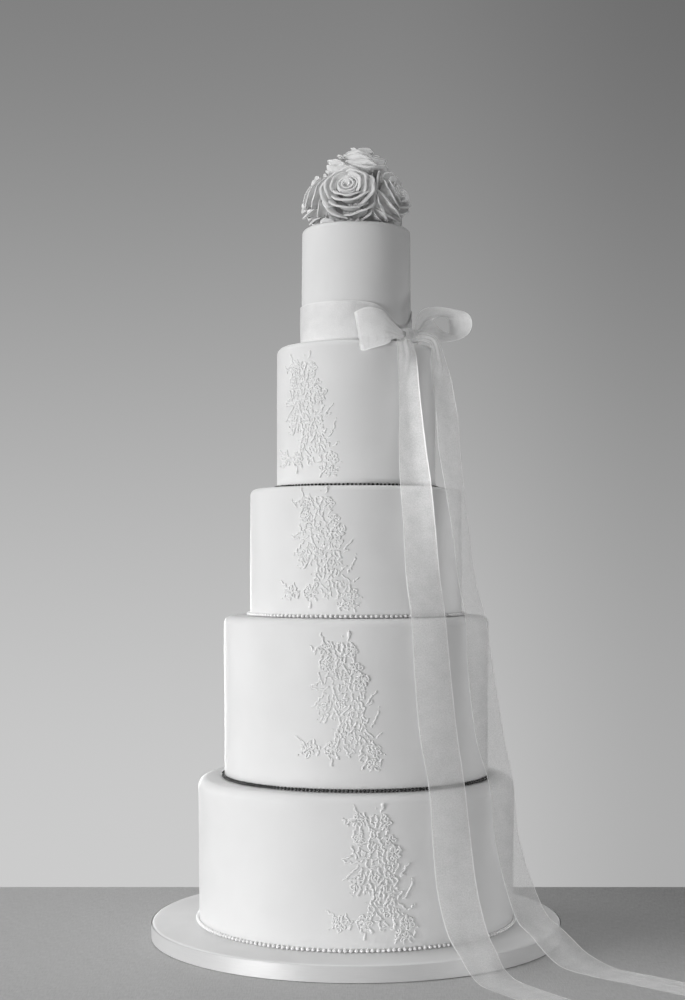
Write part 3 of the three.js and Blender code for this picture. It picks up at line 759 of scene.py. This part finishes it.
def bead_form(rows=7, columns=12):
    """Points and faces of a bead of radius 1, flattened a little from pole to pole."""
    falls = [math.pi * i / rows for i in range(rows + 1)]
    return revolve([(math.sin(fall), -BEAD_SQUASH * math.cos(fall)) for fall in falls], columns)


def make_strand(name, tier):
    """A strand of beads round the foot of a tier, each turned its own way."""
    node, cord_radius, bead_radius, spacing, finish = STRANDS[name]
    dice = random.Random(node)
    centre = tier["base"] + GAP + cord_radius
    count = round(TURN * centre / spacing)
    form, form_faces = bead_form()
    points, faces = [], []
    for i in range(count):
        azimuth = TURN * (i + dice.uniform(-0.05, 0.05)) / count
        radius = bead_radius * dice.uniform(0.94, 1.03)
        spot = polar(centre + dice.uniform(-0.12, 0.12), azimuth, tier["bottom"] + radius)
        turn, start = dice.uniform(0, TURN), len(points)
        tilt = Matrix.Rotation(turn, 3, "X") @ Matrix.Rotation(turn * 1.7, 3, "Z")
        points += [spot + tilt @ (p * radius) for p in form]
        faces += [tuple(start + k for k in face) for face in form_faces]
    mesh_piece("bead_" + node, points, faces, BEADS[finish], [node], finish)


# ---- ribbon ----
SELVEDGE = 0.02  # share of the ribbon's width that its closed edge takes
CLOTH = dict(off_wall=0.8, off_roof=0.7)  # how far it stays off the drums


def clear_of_cake(point):
    """Moves a point of cloth out of the drums and off the table, the shorter way."""
    rim = BOARD["radius"] + GAP + CLOTH["off_wall"]
    drums = [(rim, rim, 0, BOARD["height"])]
    drums += [(t["base"], t["top"], t["bottom"], t["ceiling"]) for t in TIERS.values()]
    x, y, z = point
    for base, top, low, high in drums:
        radius = math.hypot(x, y)
        wall = base + (top - base) * min(max((z - low) / (high - low), 0), 1) + CLOTH["off_wall"]
        roof = high + CLOTH["off_roof"]
        if low - 1 < z < roof and radius < wall:
            if roof - z < wall - radius:
                z = roof
            else:
                x, y = x * wall / radius, y * wall / radius
    return Vector((x, y, max(z, FLOOR_LEVEL)))


def organza_ribbon(name, node, edges, folds, steps, material, length, across=20):
    """A sheer ribbon between two edges. folds(share along, share across, width) lifts it in mm."""
    left, right = (sampled(edge, steps) for edge in edges)
    shares = [0, SELVEDGE] + [j / across for j in range(1, across)] + [1 - SELVEDGE, 1]
    rows = []
    for i in range(steps + 1):
        a, b = left[i], right[i]
        p, q = max(i - 1, 0), min(i + 1, steps)
        along = left[q] + right[q] - left[p] - right[p]
        out = np.cross(b - a, along)
        out /= np.linalg.norm(out)
        width = np.linalg.norm(b - a)
        rows.append([
            clear_of_cake(a + (b - a) * t + out * folds(i / steps, t, width)) for t in shares
        ])
    woven_ribbon(
        name, node, rows, material, "organza", (RIBBON_WIDTH * MM, length),
        shares=shares,
    )


def gathers(count, most, sway):
    """Folds that take up the slack where the ribbon is narrower than its cut width."""

    def lift(share, t, width):
        slack = math.sqrt(max(RIBBON_WIDTH ** 2 - min(width, RIBBON_WIDTH) ** 2, 0)) / (4 * count)
        ends = math.sin(math.pi * t) ** 0.5 if 0 < t < 1 else 0
        fold = min(slack, most) * math.sin(TURN * count * t + 1.3 * math.sin(5 * share))
        drift = sway * math.sin(TURN * (1.15 * t + 2.3 * share)) * math.sin(7 * share + 0.5)
        return ends * (fold + drift)

    return lift


def eased(value, start, end):
    """0 up to start and 1 from end on, with a smooth rise between."""
    share = min(max((value - start) / (end - start), 0), 1)
    return share * share * (3 - 2 * share)


HANGING = dict(slack=0.85, hollow=1.2, bulge=1, pleats=3, pleat=0.6, ripple=1.2, lying=(0.6, 0.76))


def hanging(start, full):
    """Folds of a tail: pleated at the knot, then hollowed by the slack where it is narrower than
    its cut width, from the share start of its length to the share full, with a slow ripple. Below
    that it bulges a little towards the viewer, and on the table it lies flat."""

    def lift(share, t, width):
        narrowed = min(width, RIBBON_WIDTH)
        slack = narrowed * math.sqrt(3 / 8 * (RIBBON_WIDTH / narrowed - 1))
        ramp, below = eased(share, start, full), eased(share, full + 0.04, full + 0.16)
        hollow = HANGING["slack"] * slack + HANGING["hollow"]
        hollow = (hollow - (HANGING["hollow"] + HANGING["bulge"]) * below) * ramp
        hollow *= 1 - eased(share, *HANGING["lying"])
        pleats = HANGING["pleat"] * (1 - ramp) * math.sin(TURN * HANGING["pleats"] * t)
        drift = HANGING["ripple"] * math.sin(TURN * (0.7 * t + 2.6 * share))
        drift *= 0.5 + 0.5 * math.sin(9 * share)
        rim = 0.2 * (t < SELVEDGE / 2) - 0.1 * (t > 1 - SELVEDGE / 2)
        return hollow * 4 * t * (1 - t) + rim + math.sin(math.pi * t) * (pleats + drift)

    return lift


def route_edges(route):
    """Edges of a ribbon from rows of x, y, z, width, then azimuth and tilt of the line across it."""
    edges = [[], []]
    for x, y, z, width, *angles in route:
        turn, tilt = (math.radians(angle) for angle in angles)
        level = math.cos(tilt)
        across = np.array((math.cos(turn) * level, math.sin(turn) * level, math.sin(tilt)))
        for edge, side in zip(edges, (-0.5, 0.5)):
            edge.append(np.array((x, y, z)) + across * side * width)
    return edges


TAIL_FRONT = [
    (50, -41, SHELF + 2.6, 12, 48, 0), (48.5, -52, SHELF + 1.6, 16, 46, 0),
    (46.5, -64, SHELF + 0.6, 20, 42, 0), (48.4, -71, SHELF - 14, 23, 38, 0),
    (51.3, -76, 526, 26, 36, 0), (53.5, -83, 480, 32, 34, 0), (56, -92.5, 447, 35, 31, 0),
    (59, -99, 410, 36, 31, 0), (62.5, -107, 356, 38, 30, 0), (67, -115.5, 320, 38, 30, 0),
    (70.5, -121.5, 270, 38, 25, 0), (76, -127.5, 210, 38, 20, 0), (83.5, -135.5, 161, 38, 26, 0),
    (87, -143, 118, 38, 20, 0), (92, -153, 70, 38, 12, 0), (101, -164, 34, 38, 14, 0),
    (109, -176, 19.5, 38, 25, 0), (115, -188, 9, 38, 29, -2), (122, -200, 2.5, 38, 30, 0),
    (130, -213, FLOOR_LEVEL, 38, 30.5, 0), (154, -252, FLOOR_LEVEL, 38, 31, 0),
    (178, -290, FLOOR_LEVEL, 46, 62, 0),
]
TAIL_SIDE = [
    (59, -38, SHELF + 7.7, 11, 60, 55), (68, -42, SHELF + 6.7, 12, 58, 50),
    (75, -42, SHELF + 3.2, 13, 56, 36), (78.1, -39, SHELF - 3.8, 18, 54, 16),
    (80.5, -34.5, 568, 26, 53, 0), (83.4, -35, 551, 35.5, 54, 0),
    (86.4, -39, 531, 37, 54, 0), (88.8, -42, 511, 38, 53, 0), (91, -44.5, 478, 38, 53, 0),
    (95, -50, 446, 38, 57, 0), (101, -57, 400, 38, 60, 0), (107, -63.5, 350, 38, 60, 0),
    (113.5, -71, 320, 38, 56, 0), (119, -75, 265, 38, 45, 0), (128, -79.5, 200, 38, 41, 0),
    (137.5, -84, 161, 38, 48, 0), (142.5, -86, 110, 38, 48, 0), (155, -87.5, 62, 38, 42, 0),
    (167, -94, 33, 38, 36, 2), (177, -105, 24.5, 38, 38, 5), (187, -120, 15, 38, 40, 11),
    (200, -146, 6.5, 38, 42, 9), (223, -166, FLOOR_LEVEL + 0.4, 38, 45, 0),
    (249, -189, FLOOR_LEVEL, 38, 45, 0), (292, -230, FLOOR_LEVEL, 38, 45, 0),
    (330, -266, FLOOR_LEVEL, 46, 78, 0),
]
LOOP_LEFT_TOP = [  # upper edge: out along the front, round the fold, back behind
    (50, -42, 594), (42, -48, 596.8), (33, -53.5, 604.5), (27, -57, 611.5), (19, -60.5, 614.9),
    (8, -64, 614.2), (0, -66, 610.8), (-1.8, -64.5, 609.8), (4, -60.5, 614), (16, -58, 616.5),
    (27, -52, 610.5), (38, -45.5, 600), (48, -42.5, 595),
]
LOOP_LEFT_BOTTOM = [
    (50, -43, 587.5), (41, -57, 585.5), (35.5, -68, 583.7), (30, -75.5, 578.5), (21, -80, 575),
    (12, -83, 572), (7, -83.5, 570.5), (4.2, -81.6, 572), (6, -78.6, 575.2), (15, -70, 580.5),
    (27, -59, 584.6), (38, -49.5, 586.6), (48, -42.5, 588),
]
LOOP_RIGHT_NEAR = [  # edge nearer the front: up from the knot, over, and back below
    (56, -38, 598), (63, -41, 615), (75, -38, 619), (94, -33, 618), (110, -29.5, 613.5),
    (114, -28, 605), (111, -28.5, 595), (103, -30, 589), (92, -31, 586.2), (82, -31, 584.8),
    (73, -31.5, 585.8), (64, -33, 590),
]
LOOP_RIGHT_FAR = [
    (60, -31, 592), (66, -19, 598), (72, -11, 606.5), (77, -6, 612), (84, -3, 614.5), (91.5, 0, 613.5),
    (93, 2, 606), (91.5, 1, 598.5), (87, -4, 600), (81, -10, 603), (74, -22, 609), (67, -28, 605),
    (60, -33, 596),
]


def make_band(steps=220, across=16):
    """The ribbon round the top tier, drawn in to the knot and dipping there."""
    tier, push = TIERS["tier_1"], unevenness(71, 0.5)
    rings = []
    for i in range(steps):
        azimuth = TURN * i / steps
        turned = azimuth - math.radians(KNOT["azimuth"])
        away = math.atan2(math.sin(turned), math.cos(turned))
        drawn = math.exp(-((away / math.radians(BAND["spread"])) ** 2))
        width = RIBBON_WIDTH + (BAND["gathered"] - RIBBON_WIDTH) * drawn
        middle = tier["bottom"] + BAND["bottom"] + RIBBON_WIDTH / 2 - drawn * BAND["dip"]
        ring = []
        for j in range(across + 1):
            z = middle + width * (j / across - 0.5) + push(azimuth, 0) * 0.8
            pleat = 0.9 * drawn * math.sin(TURN * 3 * j / across) * min(1, abs(away) * 6)
            slack = 0.25 + 0.25 * math.sin(9 * azimuth + 4 * j / across)
            ring.append(polar(tier_radius(tier, z) + 1.0 + slack + pleat, azimuth, z))
        rings.append(ring)
    woven_ribbon(
        "organza_band", "ribbon_band", rings, ORGANZA_BAND, "organza",
        (RIBBON_WIDTH * MM, TURN * BAND["radius"] * MM), closed=True,
    )


def make_knot(steps=72, across=44):
    """A pleated turn of ribbon wrapped over the crossing of the bow."""
    azimuth = math.radians(KNOT["azimuth"])
    centre = polar(KNOT["distance"], azimuth, SHELF + GAP + KNOT["high"])
    sideways = Vector((math.cos(azimuth), math.sin(azimuth), 0))
    outward = Vector((math.sin(azimuth), -math.cos(azimuth), 0))
    rings = []
    for i in range(steps):
        turn = TURN * i / steps
        ring = []
        for j in range(across + 1):
            t = 2 * j / across - 1
            body = 0.55 + 0.43 * (1 - abs(t) ** 2.4) ** 0.45
            pleat = 0.35 * math.cos(math.pi * 5 * t + 0.9 * math.sin(2 * turn))
            deep, high = KNOT["deep"] * body + pleat - 0.5, KNOT["high"] * body + pleat - 0.5
            out, up = math.cos(turn), math.sin(turn)
            squared = (abs(out) ** 2.3 + abs(up) ** 2.3) ** (-1 / 2.3)
            ring.append(
                centre + sideways * (KNOT["wide"] * 0.97 * t + 0.5 * math.sin(2 * turn))
                + outward * (deep * squared * out) + Vector((0, 0, high * squared * up))
            )
        rings.append(ring)
    woven_ribbon(
        "organza_knot", "bow_knot", rings, ORGANZA_KNOT, "organza",
        (RIBBON_WIDTH * MM, 0.036), closed=True,
    )


def make_bow():
    """The ribbon round the top tier, then the bow's knot, loops and tails, with their cut lengths."""
    make_band()
    make_knot()
    organza_ribbon(
        "organza_loop_left", "bow_loop_left", (LOOP_LEFT_TOP, LOOP_LEFT_BOTTOM), gathers(5, 0.35, 0.4),
        150, ORGANZA_LOOP, 0.118,
    )
    organza_ribbon(
        "organza_loop_right", "bow_loop_right", (LOOP_RIGHT_NEAR, LOOP_RIGHT_FAR), gathers(4, 0.5, 0.4),
        150, ORGANZA_LOOP, 0.130,
    )
    for side, route, folds, length in (
        ("front", TAIL_FRONT, hanging(0.14, 0.18), 0.720), ("side", TAIL_SIDE, hanging(0.17, 0.22), 0.840),
    ):
        organza_ribbon(
            "organza_tail_" + side, "ribbon_tail_" + side, route_edges(route), folds, 260, ORGANZA,
            length,
        )


# ---- sugar roses ----
ROSE_BASE = TIERS["tier_1"]["ceiling"] + GAP


def rose_places():
    """Centre, the turn that faces each rose outwards, and its half width and half height."""
    places = {}
    for i in range(5):
        azimuth = math.radians(ROSE["turn"] + 72 * i)
        centre = polar(ROSE["ring"], azimuth, ROSE_BASE + ROSE["half_height"] + ROSE["lift"])
        facing = Matrix.Rotation(azimuth, 3, "Z") @ Matrix.Rotation(
            math.pi / 2 - math.radians(ROSE["facing"]), 3, "X"
        )
        places[f"rose_{i + 1}"] = (centre, facing, ROSE["half_width"], ROSE["half_height"])
    centre = Vector((ROSE_TOP["x"], 0, ROSE_BASE + ROSE_TOP["rise"]))
    size = ROSE_TOP["half_width"]
    leaning = Matrix.Rotation(math.radians(ROSE_TOP["lean"]), 3, "Y")
    places["rose_top"] = (centre, leaning, size, size)
    return places


# Rows of petals from the bud outwards: how many, radius and height of the rim, half spread in
# degrees, radius of the rolled rim, how far its point stands out, and the angle of the first.
RING_ROWS = [
    (3, 13.6, 24.0, 64, 1.0, 0.9, -90), (3, 18.6, 21.2, 64, 1.25, 2.0, -82),
    (4, 23.4, 16.0, 54, 1.45, 3.2, -98), (5, 26.6, 8.0, 48, 1.4, 3.6, -135),
    (5, 26.8, -3.0, 46, 1.2, 2.6, -100),
]
TOP_ROWS = [
    (3, 9.0, 28.6, 66, 0.8, 2.0, -60), (3, 15.0, 25.0, 64, 1.1, 2.6, -100),
    (4, 21.5, 19.5, 56, 1.35, 3.0, -75), (5, 27.5, 12.5, 50, 1.4, 3.4, -110),
    (5, 32.5, 4.5, 48, 1.3, 3.4, -90),
]
BUD = dict(ring=(10.6, 24.4), top=(6.4, 29.6), turns=2.5, points=96, wall=6, lip=3, floor=3.0)
PETAL_WALL, PETAL_LIP, PETAL_ACROSS = 9, 6, 21  # points up the wall, round the lip and across
PASTE_THICKNESS = 0.7
PRESS = dict(side=3, foot=2)  # how near a neighbour and the cake the petals begin to give way
ROSE_TWIST = 47  # degrees that one rose's petals are turned from the last one's
LOOSE_PETAL = dict(azimuth=-50, sweep=22, inner=44.5, width=6.5, rise=3.2)
FLARE = math.radians(38)  # how far a petal leans out where its rim starts to roll


def petal_surface(dice, angle, spread, rim, top, roll, point):
    """Points of one petal round the rose's axis, foot to rim, with their shares for its material, whose
    second number sets how far the painted shade darkens it.
    """
    foot_radius, depth = max(rim - 6.5, 1.5), 12 + 0.25 * rim
    ruffle, phase = dice.uniform(0.012, 0.03) * rim, dice.uniform(0, TURN)
    slant, tip = dice.uniform(0.03, 0.07), dice.uniform(-0.25, 0.25)
    points, shares = [], []
    for i in range(PETAL_WALL + PETAL_LIP):
        wall = min(i / (PETAL_WALL - 1), 1)
        lip = max(i - PETAL_WALL + 1, 0) / PETAL_LIP
        for j in range(PETAL_ACROSS):
            a = 2 * j / (PETAL_ACROSS - 1) - 1
            peak = max(0.0, 1 - abs(a - tip) / 0.38)
            narrow = math.sin(math.pi / 2 * min(1, 0.35 + 0.95 * wall)) ** 0.8
            theta = angle + math.radians(spread) * a * narrow
            radius = foot_radius + (rim - foot_radius) * (0.35 * wall + 0.65 * wall ** 3)
            z = top - depth * (1 - wall)
            curl = FLARE + 2.3 * lip * (1 - 0.3 * peak) * (1 - 0.4 * abs(a) ** 3)
            radius += roll * (math.cos(FLARE) - math.cos(curl))
            z += roll * (math.sin(curl) - math.sin(FLARE))
            radius += ruffle * wall ** 4 * math.sin(2.4 * math.pi * a + phase)
            radius += wall ** 3 * (0.8 * point * peak + 0.05 * rim * min(abs(a) / 0.6, 1) ** 2)
            z += 0.35 * point * peak * wall ** 6
            z -= (0.18 * rim + 1.5) * abs(a) ** 3 * wall ** 2
            radius *= 1 + slant * a
            points.append((max(radius, 0.3), theta, z))
            shares.append((a * (0.4 + 0.6 * wall), 0.8 * wall + 0.2 * lip, 0.0))
    return points, shares


def bud_surface(dice, radius, top):
    """The tightly wound middle: one petal rolled in a spiral, whose rim rises and falls."""
    points, shares, count = [], [], BUD["points"]
    phase, wave = dice.uniform(0, TURN), dice.uniform(0, TURN)
    for i in range(BUD["wall"] + BUD["lip"]):
        v = min(i / (BUD["wall"] - 1), 1)
        curl = 0.9 * max(i - BUD["wall"] + 1, 0)
        for j in range(count):
            s = j / (count - 1)
            here = 1 + (radius - 1) * s ** 0.9 + 0.6 * (1 - math.cos(curl)) - 0.8 * (1 - v)
            here *= 1 + 0.05 * math.sin(3 * TURN * s + wave)
            z = top - 1.8 * s ** 2 - 6 * (1 - v) + 0.5 * math.sin(curl)
            z -= 0.5 * v * (1 + math.sin(11.3 * s + wave))
            points.append((max(here, 0.3), phase + TURN * BUD["turns"] * s, z))
            shares.append((s, 0.5 + 0.5 * v, 0.0))
    return points, shares


def bud_floor(radius, top):
    """What lies between the turns of the bud: the paste cone that it is wound on."""
    rows, columns = 5, 25
    points = [
        (max(radius * i / (rows - 1), 0.05), TURN * j / (columns - 1), top - BUD["floor"] - 0.35 * i)
        for i in range(rows) for j in range(columns)
    ]
    return points, [(0.0, 0.55, 0.0)] * len(points), rows, columns


def pressed(point, name, places):
    """Holds a point of a rose on its own side of its neighbours and above the cake."""
    centre = places[name][0]
    for other, place in places.items():
        if other == name:
            continue
        away = (centre - place[0]).normalized()
        middle = (centre + place[0]) / 2
        inside = (point - middle).dot(away) - GAP
        if inside < PRESS["side"]:
            pushed = PRESS["side"] * math.exp((inside - PRESS["side"]) / PRESS["side"])
            point = point + away * (pushed - inside)
    rise = point.z - ROSE_BASE
    if rise < PRESS["foot"]:
        point.z = ROSE_BASE + 0.2 + 1.8 * math.exp((rise - PRESS["foot"]) / 8)
    return point


def sugar_piece(node, points, faces, shares):
    """A piece of sugar paste of real thickness, with the shares for its material."""
    piece = mesh_piece("sugar_" + node, points, faces, PETAL, [node], "sugar_petal")
    store_vectors(piece, "petal", shares)
    skin = piece.modifiers.new("thickness", "SOLIDIFY")
    skin.thickness = PASTE_THICKNESS * MM
    skin.offset = 0


def make_rose(index, name, places):
    centre, facing, half_width, half_height = places[name]
    dice = random.Random(name)
    on_top = name == "rose_top"
    points, faces, shares = [], [], []

    def add(surface, marks, rows, columns):
        start = len(points)
        for radius, theta, z in surface:
            across, up = radius * math.cos(theta), radius * math.sin(theta) * half_height / half_width
            points.append(pressed(centre + facing @ Vector((across, up, z)), name, places))
        shares.extend(marks)
        faces.extend(grid_faces(rows, columns, start=start))

    radius, top = BUD["top"] if on_top else BUD["ring"]
    add(*bud_surface(dice, radius, top), BUD["wall"] + BUD["lip"], BUD["points"])
    add(*bud_floor(radius, top))
    for count, rim, height, spread, roll, point, start in TOP_ROWS if on_top else RING_ROWS:
        for k in range(count):
            angle = math.radians(start + ROSE_TWIST * index) + TURN * k / count + dice.uniform(-0.14, 0.14)
            surface, marks = petal_surface(
                dice, angle, spread * dice.uniform(0.94, 1.06), rim * dice.uniform(0.95, 1.04),
                height + dice.uniform(-1, 1), roll * dice.uniform(0.85, 1.2), point,
            )
            add(surface, marks, PETAL_WALL + PETAL_LIP, PETAL_ACROSS)
    sugar_piece(name, points, faces, shares)


def make_loose_petal(rows=24, columns=8):
    """A petal that has dropped to the foot of the roses."""
    points, shares = [], []
    for i in range(rows):
        share = i / (rows - 1)
        full = 0.25 + 0.75 * math.sin(math.pi * share)
        azimuth = math.radians(LOOSE_PETAL["azimuth"] + LOOSE_PETAL["sweep"] * share)
        low = ROSE_BASE + 0.5 + 0.4 * math.sin(3 * math.pi * share) ** 2
        for j in range(columns):
            t = j / (columns - 1)
            radius = LOOSE_PETAL["inner"] + LOOSE_PETAL["width"] * full * t
            rise = LOOSE_PETAL["rise"] * full * t ** 2 + 0.3 * math.sin(5 * share + 4 * t)
            points.append(polar(radius, azimuth, low + rise))
            shares.append((share * 2 - 1, 0.4 + 0.6 * t, 0.0))
    sugar_piece("petal_loose", points, grid_faces(rows, columns), shares)


# ---- camera, light and stage ----
CAMERA = dict(distance=1653, height=369.5, focal_px=1653, across_px=356.2, horizon_px=562.5)
PHOTO = (685, 1000)
SENSOR = 36


def make_camera():
    """A level camera with the shift of the photograph's framing."""
    data = bpy.data.cameras.new("camera")
    data.sensor_width = SENSOR
    data.lens = SENSOR * CAMERA["focal_px"] / PHOTO[1]
    data.shift_x = (PHOTO[0] / 2 - CAMERA["across_px"]) / PHOTO[1]
    data.shift_y = (CAMERA["horizon_px"] - PHOTO[1] / 2) / PHOTO[1]
    camera = bpy.data.objects.new("camera", data)
    camera.location = (0, -CAMERA["distance"] * MM, CAMERA["height"] * MM)
    camera.rotation_euler = (math.pi / 2, 0, 0)
    bpy.context.collection.objects.link(camera)
    bpy.context.scene.camera = camera


LAMPS = [  # name, azimuth, distance from the axis, height, size across and up in metres, watts
    ("window", -51, 2400, 235, (1.0, 0.36), 34),
    ("sky_left", -90, 1500, 2800, (1.2, 1.2), 19.5),
    ("sky_above", 0, 0, 2800, (1.2, 1.2), 17),
    ("room_front", -5, 2400, 400, (0.6, 0.7), 4),
    ("front_right", 58, 1300, 120, (0.5, 0.2), 2.5),
    ("left_wall", -118, 2400, 235, (0.6, 0.36), 7),
    ("back_wall", -162, 2400, 150, (0.6, 0.6), 13),
    ("right_wall", 125, 2400, 235, (0.6, 0.36), 6),
    ("back_right", 165, 2400, 400, (0.6, 0.7), 3.5),
]
LAMPS_AIM = (0, 0, 380)
RIBBON_LAMP = ("tail_gleam", 20, 250, 490, (0.06, 0.06), 0.155, (60, -70, 470))  # the last is its aim
TAILS = ("organza_tail_front", "organza_tail_side")
AMBIENT = 0.06
# What the camera sees behind the table is a plain gradient of painted shade that dims upwards and to the
# right.
# Each row: the line of sight it starts and ends at, and the brightness or share of it there.
WALL_UPWARD = (-0.2, 0.4, 0.6, 0.2)
WALL_RIGHTWARD = (0, 0.2, 1, 0.7)
TABLE = dict(left=-1.0, right=1.0, near=-1.0, far=0.229, thickness=0.03)  # metres


def area_light(name, azimuth, distance, height, size, power, aim=LAMPS_AIM):
    data = bpy.data.lights.new(name, "AREA")
    data.shape = "RECTANGLE"
    data.size, data.size_y = size
    data.energy = power
    lamp = bpy.data.objects.new(name, data)
    spot = polar(distance, math.radians(azimuth), height)
    lamp.location = spot * MM
    lamp.rotation_euler = (Vector(aim) - spot).to_track_quat("-Z", "Y").to_euler()
    lamp.visible_camera = False
    bpy.context.collection.objects.link(lamp)
    return lamp


def make_lamps():
    """Soft lamps round the cake, and a small one that lights only the tails and the left loop.
    The tails throw no shadow, because it would be too dark for ribbon as sheer as this."""
    for lamp in LAMPS:
        area_light(*lamp)
    lit = bpy.data.collections.new("ribbons_in_the_gleam")
    for name in (*TAILS, "organza_loop_left"):
        lit.objects.link(bpy.data.objects[name])
    area_light(*RIBBON_LAMP).light_linking.receiver_collection = lit
    for name in TAILS:
        bpy.data.objects[name].visible_shadow = False


def eased_tone(tree, sight, start, end, first, last):
    """A number that eases from first to last while the line of sight goes from start to end."""
    return add_node(
        tree, "ShaderNodeMapRange",
        {"Value": sight, "From Min": start, "From Max": end, "To Min": first, "To Max": last},
        interpolation_type="SMOOTHSTEP",
    ).outputs["Result"]


def make_wall():
    """A pale wall that only the camera sees, with painted shade that dims it upwards and to the right. All
    else gets a faint even light in its place.
    """
    world = bpy.data.worlds.new("studio")
    bpy.context.scene.world = world
    world.use_nodes = True
    tree = world.node_tree
    back = next(n for n in tree.nodes if n.type == "BACKGROUND")
    sight = axes(tree, add_node(tree, "ShaderNodeTexCoord").outputs["Generated"])
    # Painted shade: the wall darkens upwards and to the right.
    upward = eased_tone(tree, sight["Z"], *WALL_UPWARD)
    rightward = eased_tone(tree, sight["X"], *WALL_RIGHTWARD)
    wall = reckoned(tree, "MULTIPLY", upward, rightward)
    seen = add_node(tree, "ShaderNodeLightPath").outputs["Is Camera Ray"]
    feed(tree, back, {"Color": mixed(tree, seen, grey(AMBIENT), wall), "Strength": 1})


def table_inputs(tree):
    """Plain woven cloth, with a painted shadow of the cake that makes it duller towards the far right."""
    place = object_place(tree)
    slubs = (noise(tree, scaled(tree, place, scales), 1, 3) for scales in ((900, 90, 1), (90, 900, 1)))
    threads, spot = reckoned(tree, "ADD", *slubs), axes(tree, place)
    # Painted shadow of the cake: the cloth darkens towards the far right.
    painted_cake_shadow = ranged(tree, reckoned(tree, "ADD", spot["X"], spot["Y"]), 0, 0.6, 0.1, 0.55)
    cloth = reckoned(tree, "SUBTRACT", ranged(tree, threads, 0.66, 1, 0.7, 1.3), painted_cake_shadow)
    return {
        "Base Color": grey_between(tree, cloth, 0.2, 0.58),
        "Roughness": 0.85,
        "Normal": bumped(tree, threads, distance=0.0004, strength=0.6),
    }


def make_table():
    left, right, near, far, thickness = TABLE.values()
    outline = ((left, near), (right, near), (right, far), (left, far))
    corners = [(x, y, z) for z in (-thickness, 0) for x, y in outline]
    faces = [(3, 2, 1, 0), (4, 5, 6, 7), (0, 1, 5, 4), (1, 2, 6, 5), (2, 3, 7, 6), (3, 0, 4, 7)]
    mesh = bpy.data.meshes.new("table")
    mesh.from_pydata(corners, [], faces)
    mesh.materials.append(make_material("table_cloth", table_inputs))
    table = bpy.data.objects.new("table", mesh)
    bpy.context.collection.objects.link(table)
    table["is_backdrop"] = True


# ---- the scene ----
make_camera()
make_board()
make_board_ribbon()
make_tiers()
for strand in STRANDS:
    make_strand(strand, TIERS[strand])
make_bow()
all_places = rose_places()
for number, rose in enumerate(all_places):
    make_rose(number, rose, all_places)
make_loose_petal()
make_lamps()
make_wall()
make_table()
bpy.context.scene.view_settings.view_transform = "Standard"

bpy.context.view_layer.update()
for low, high in (cad_bounds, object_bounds()):
    json.dumps([list(low), list(high)]) + "\n"
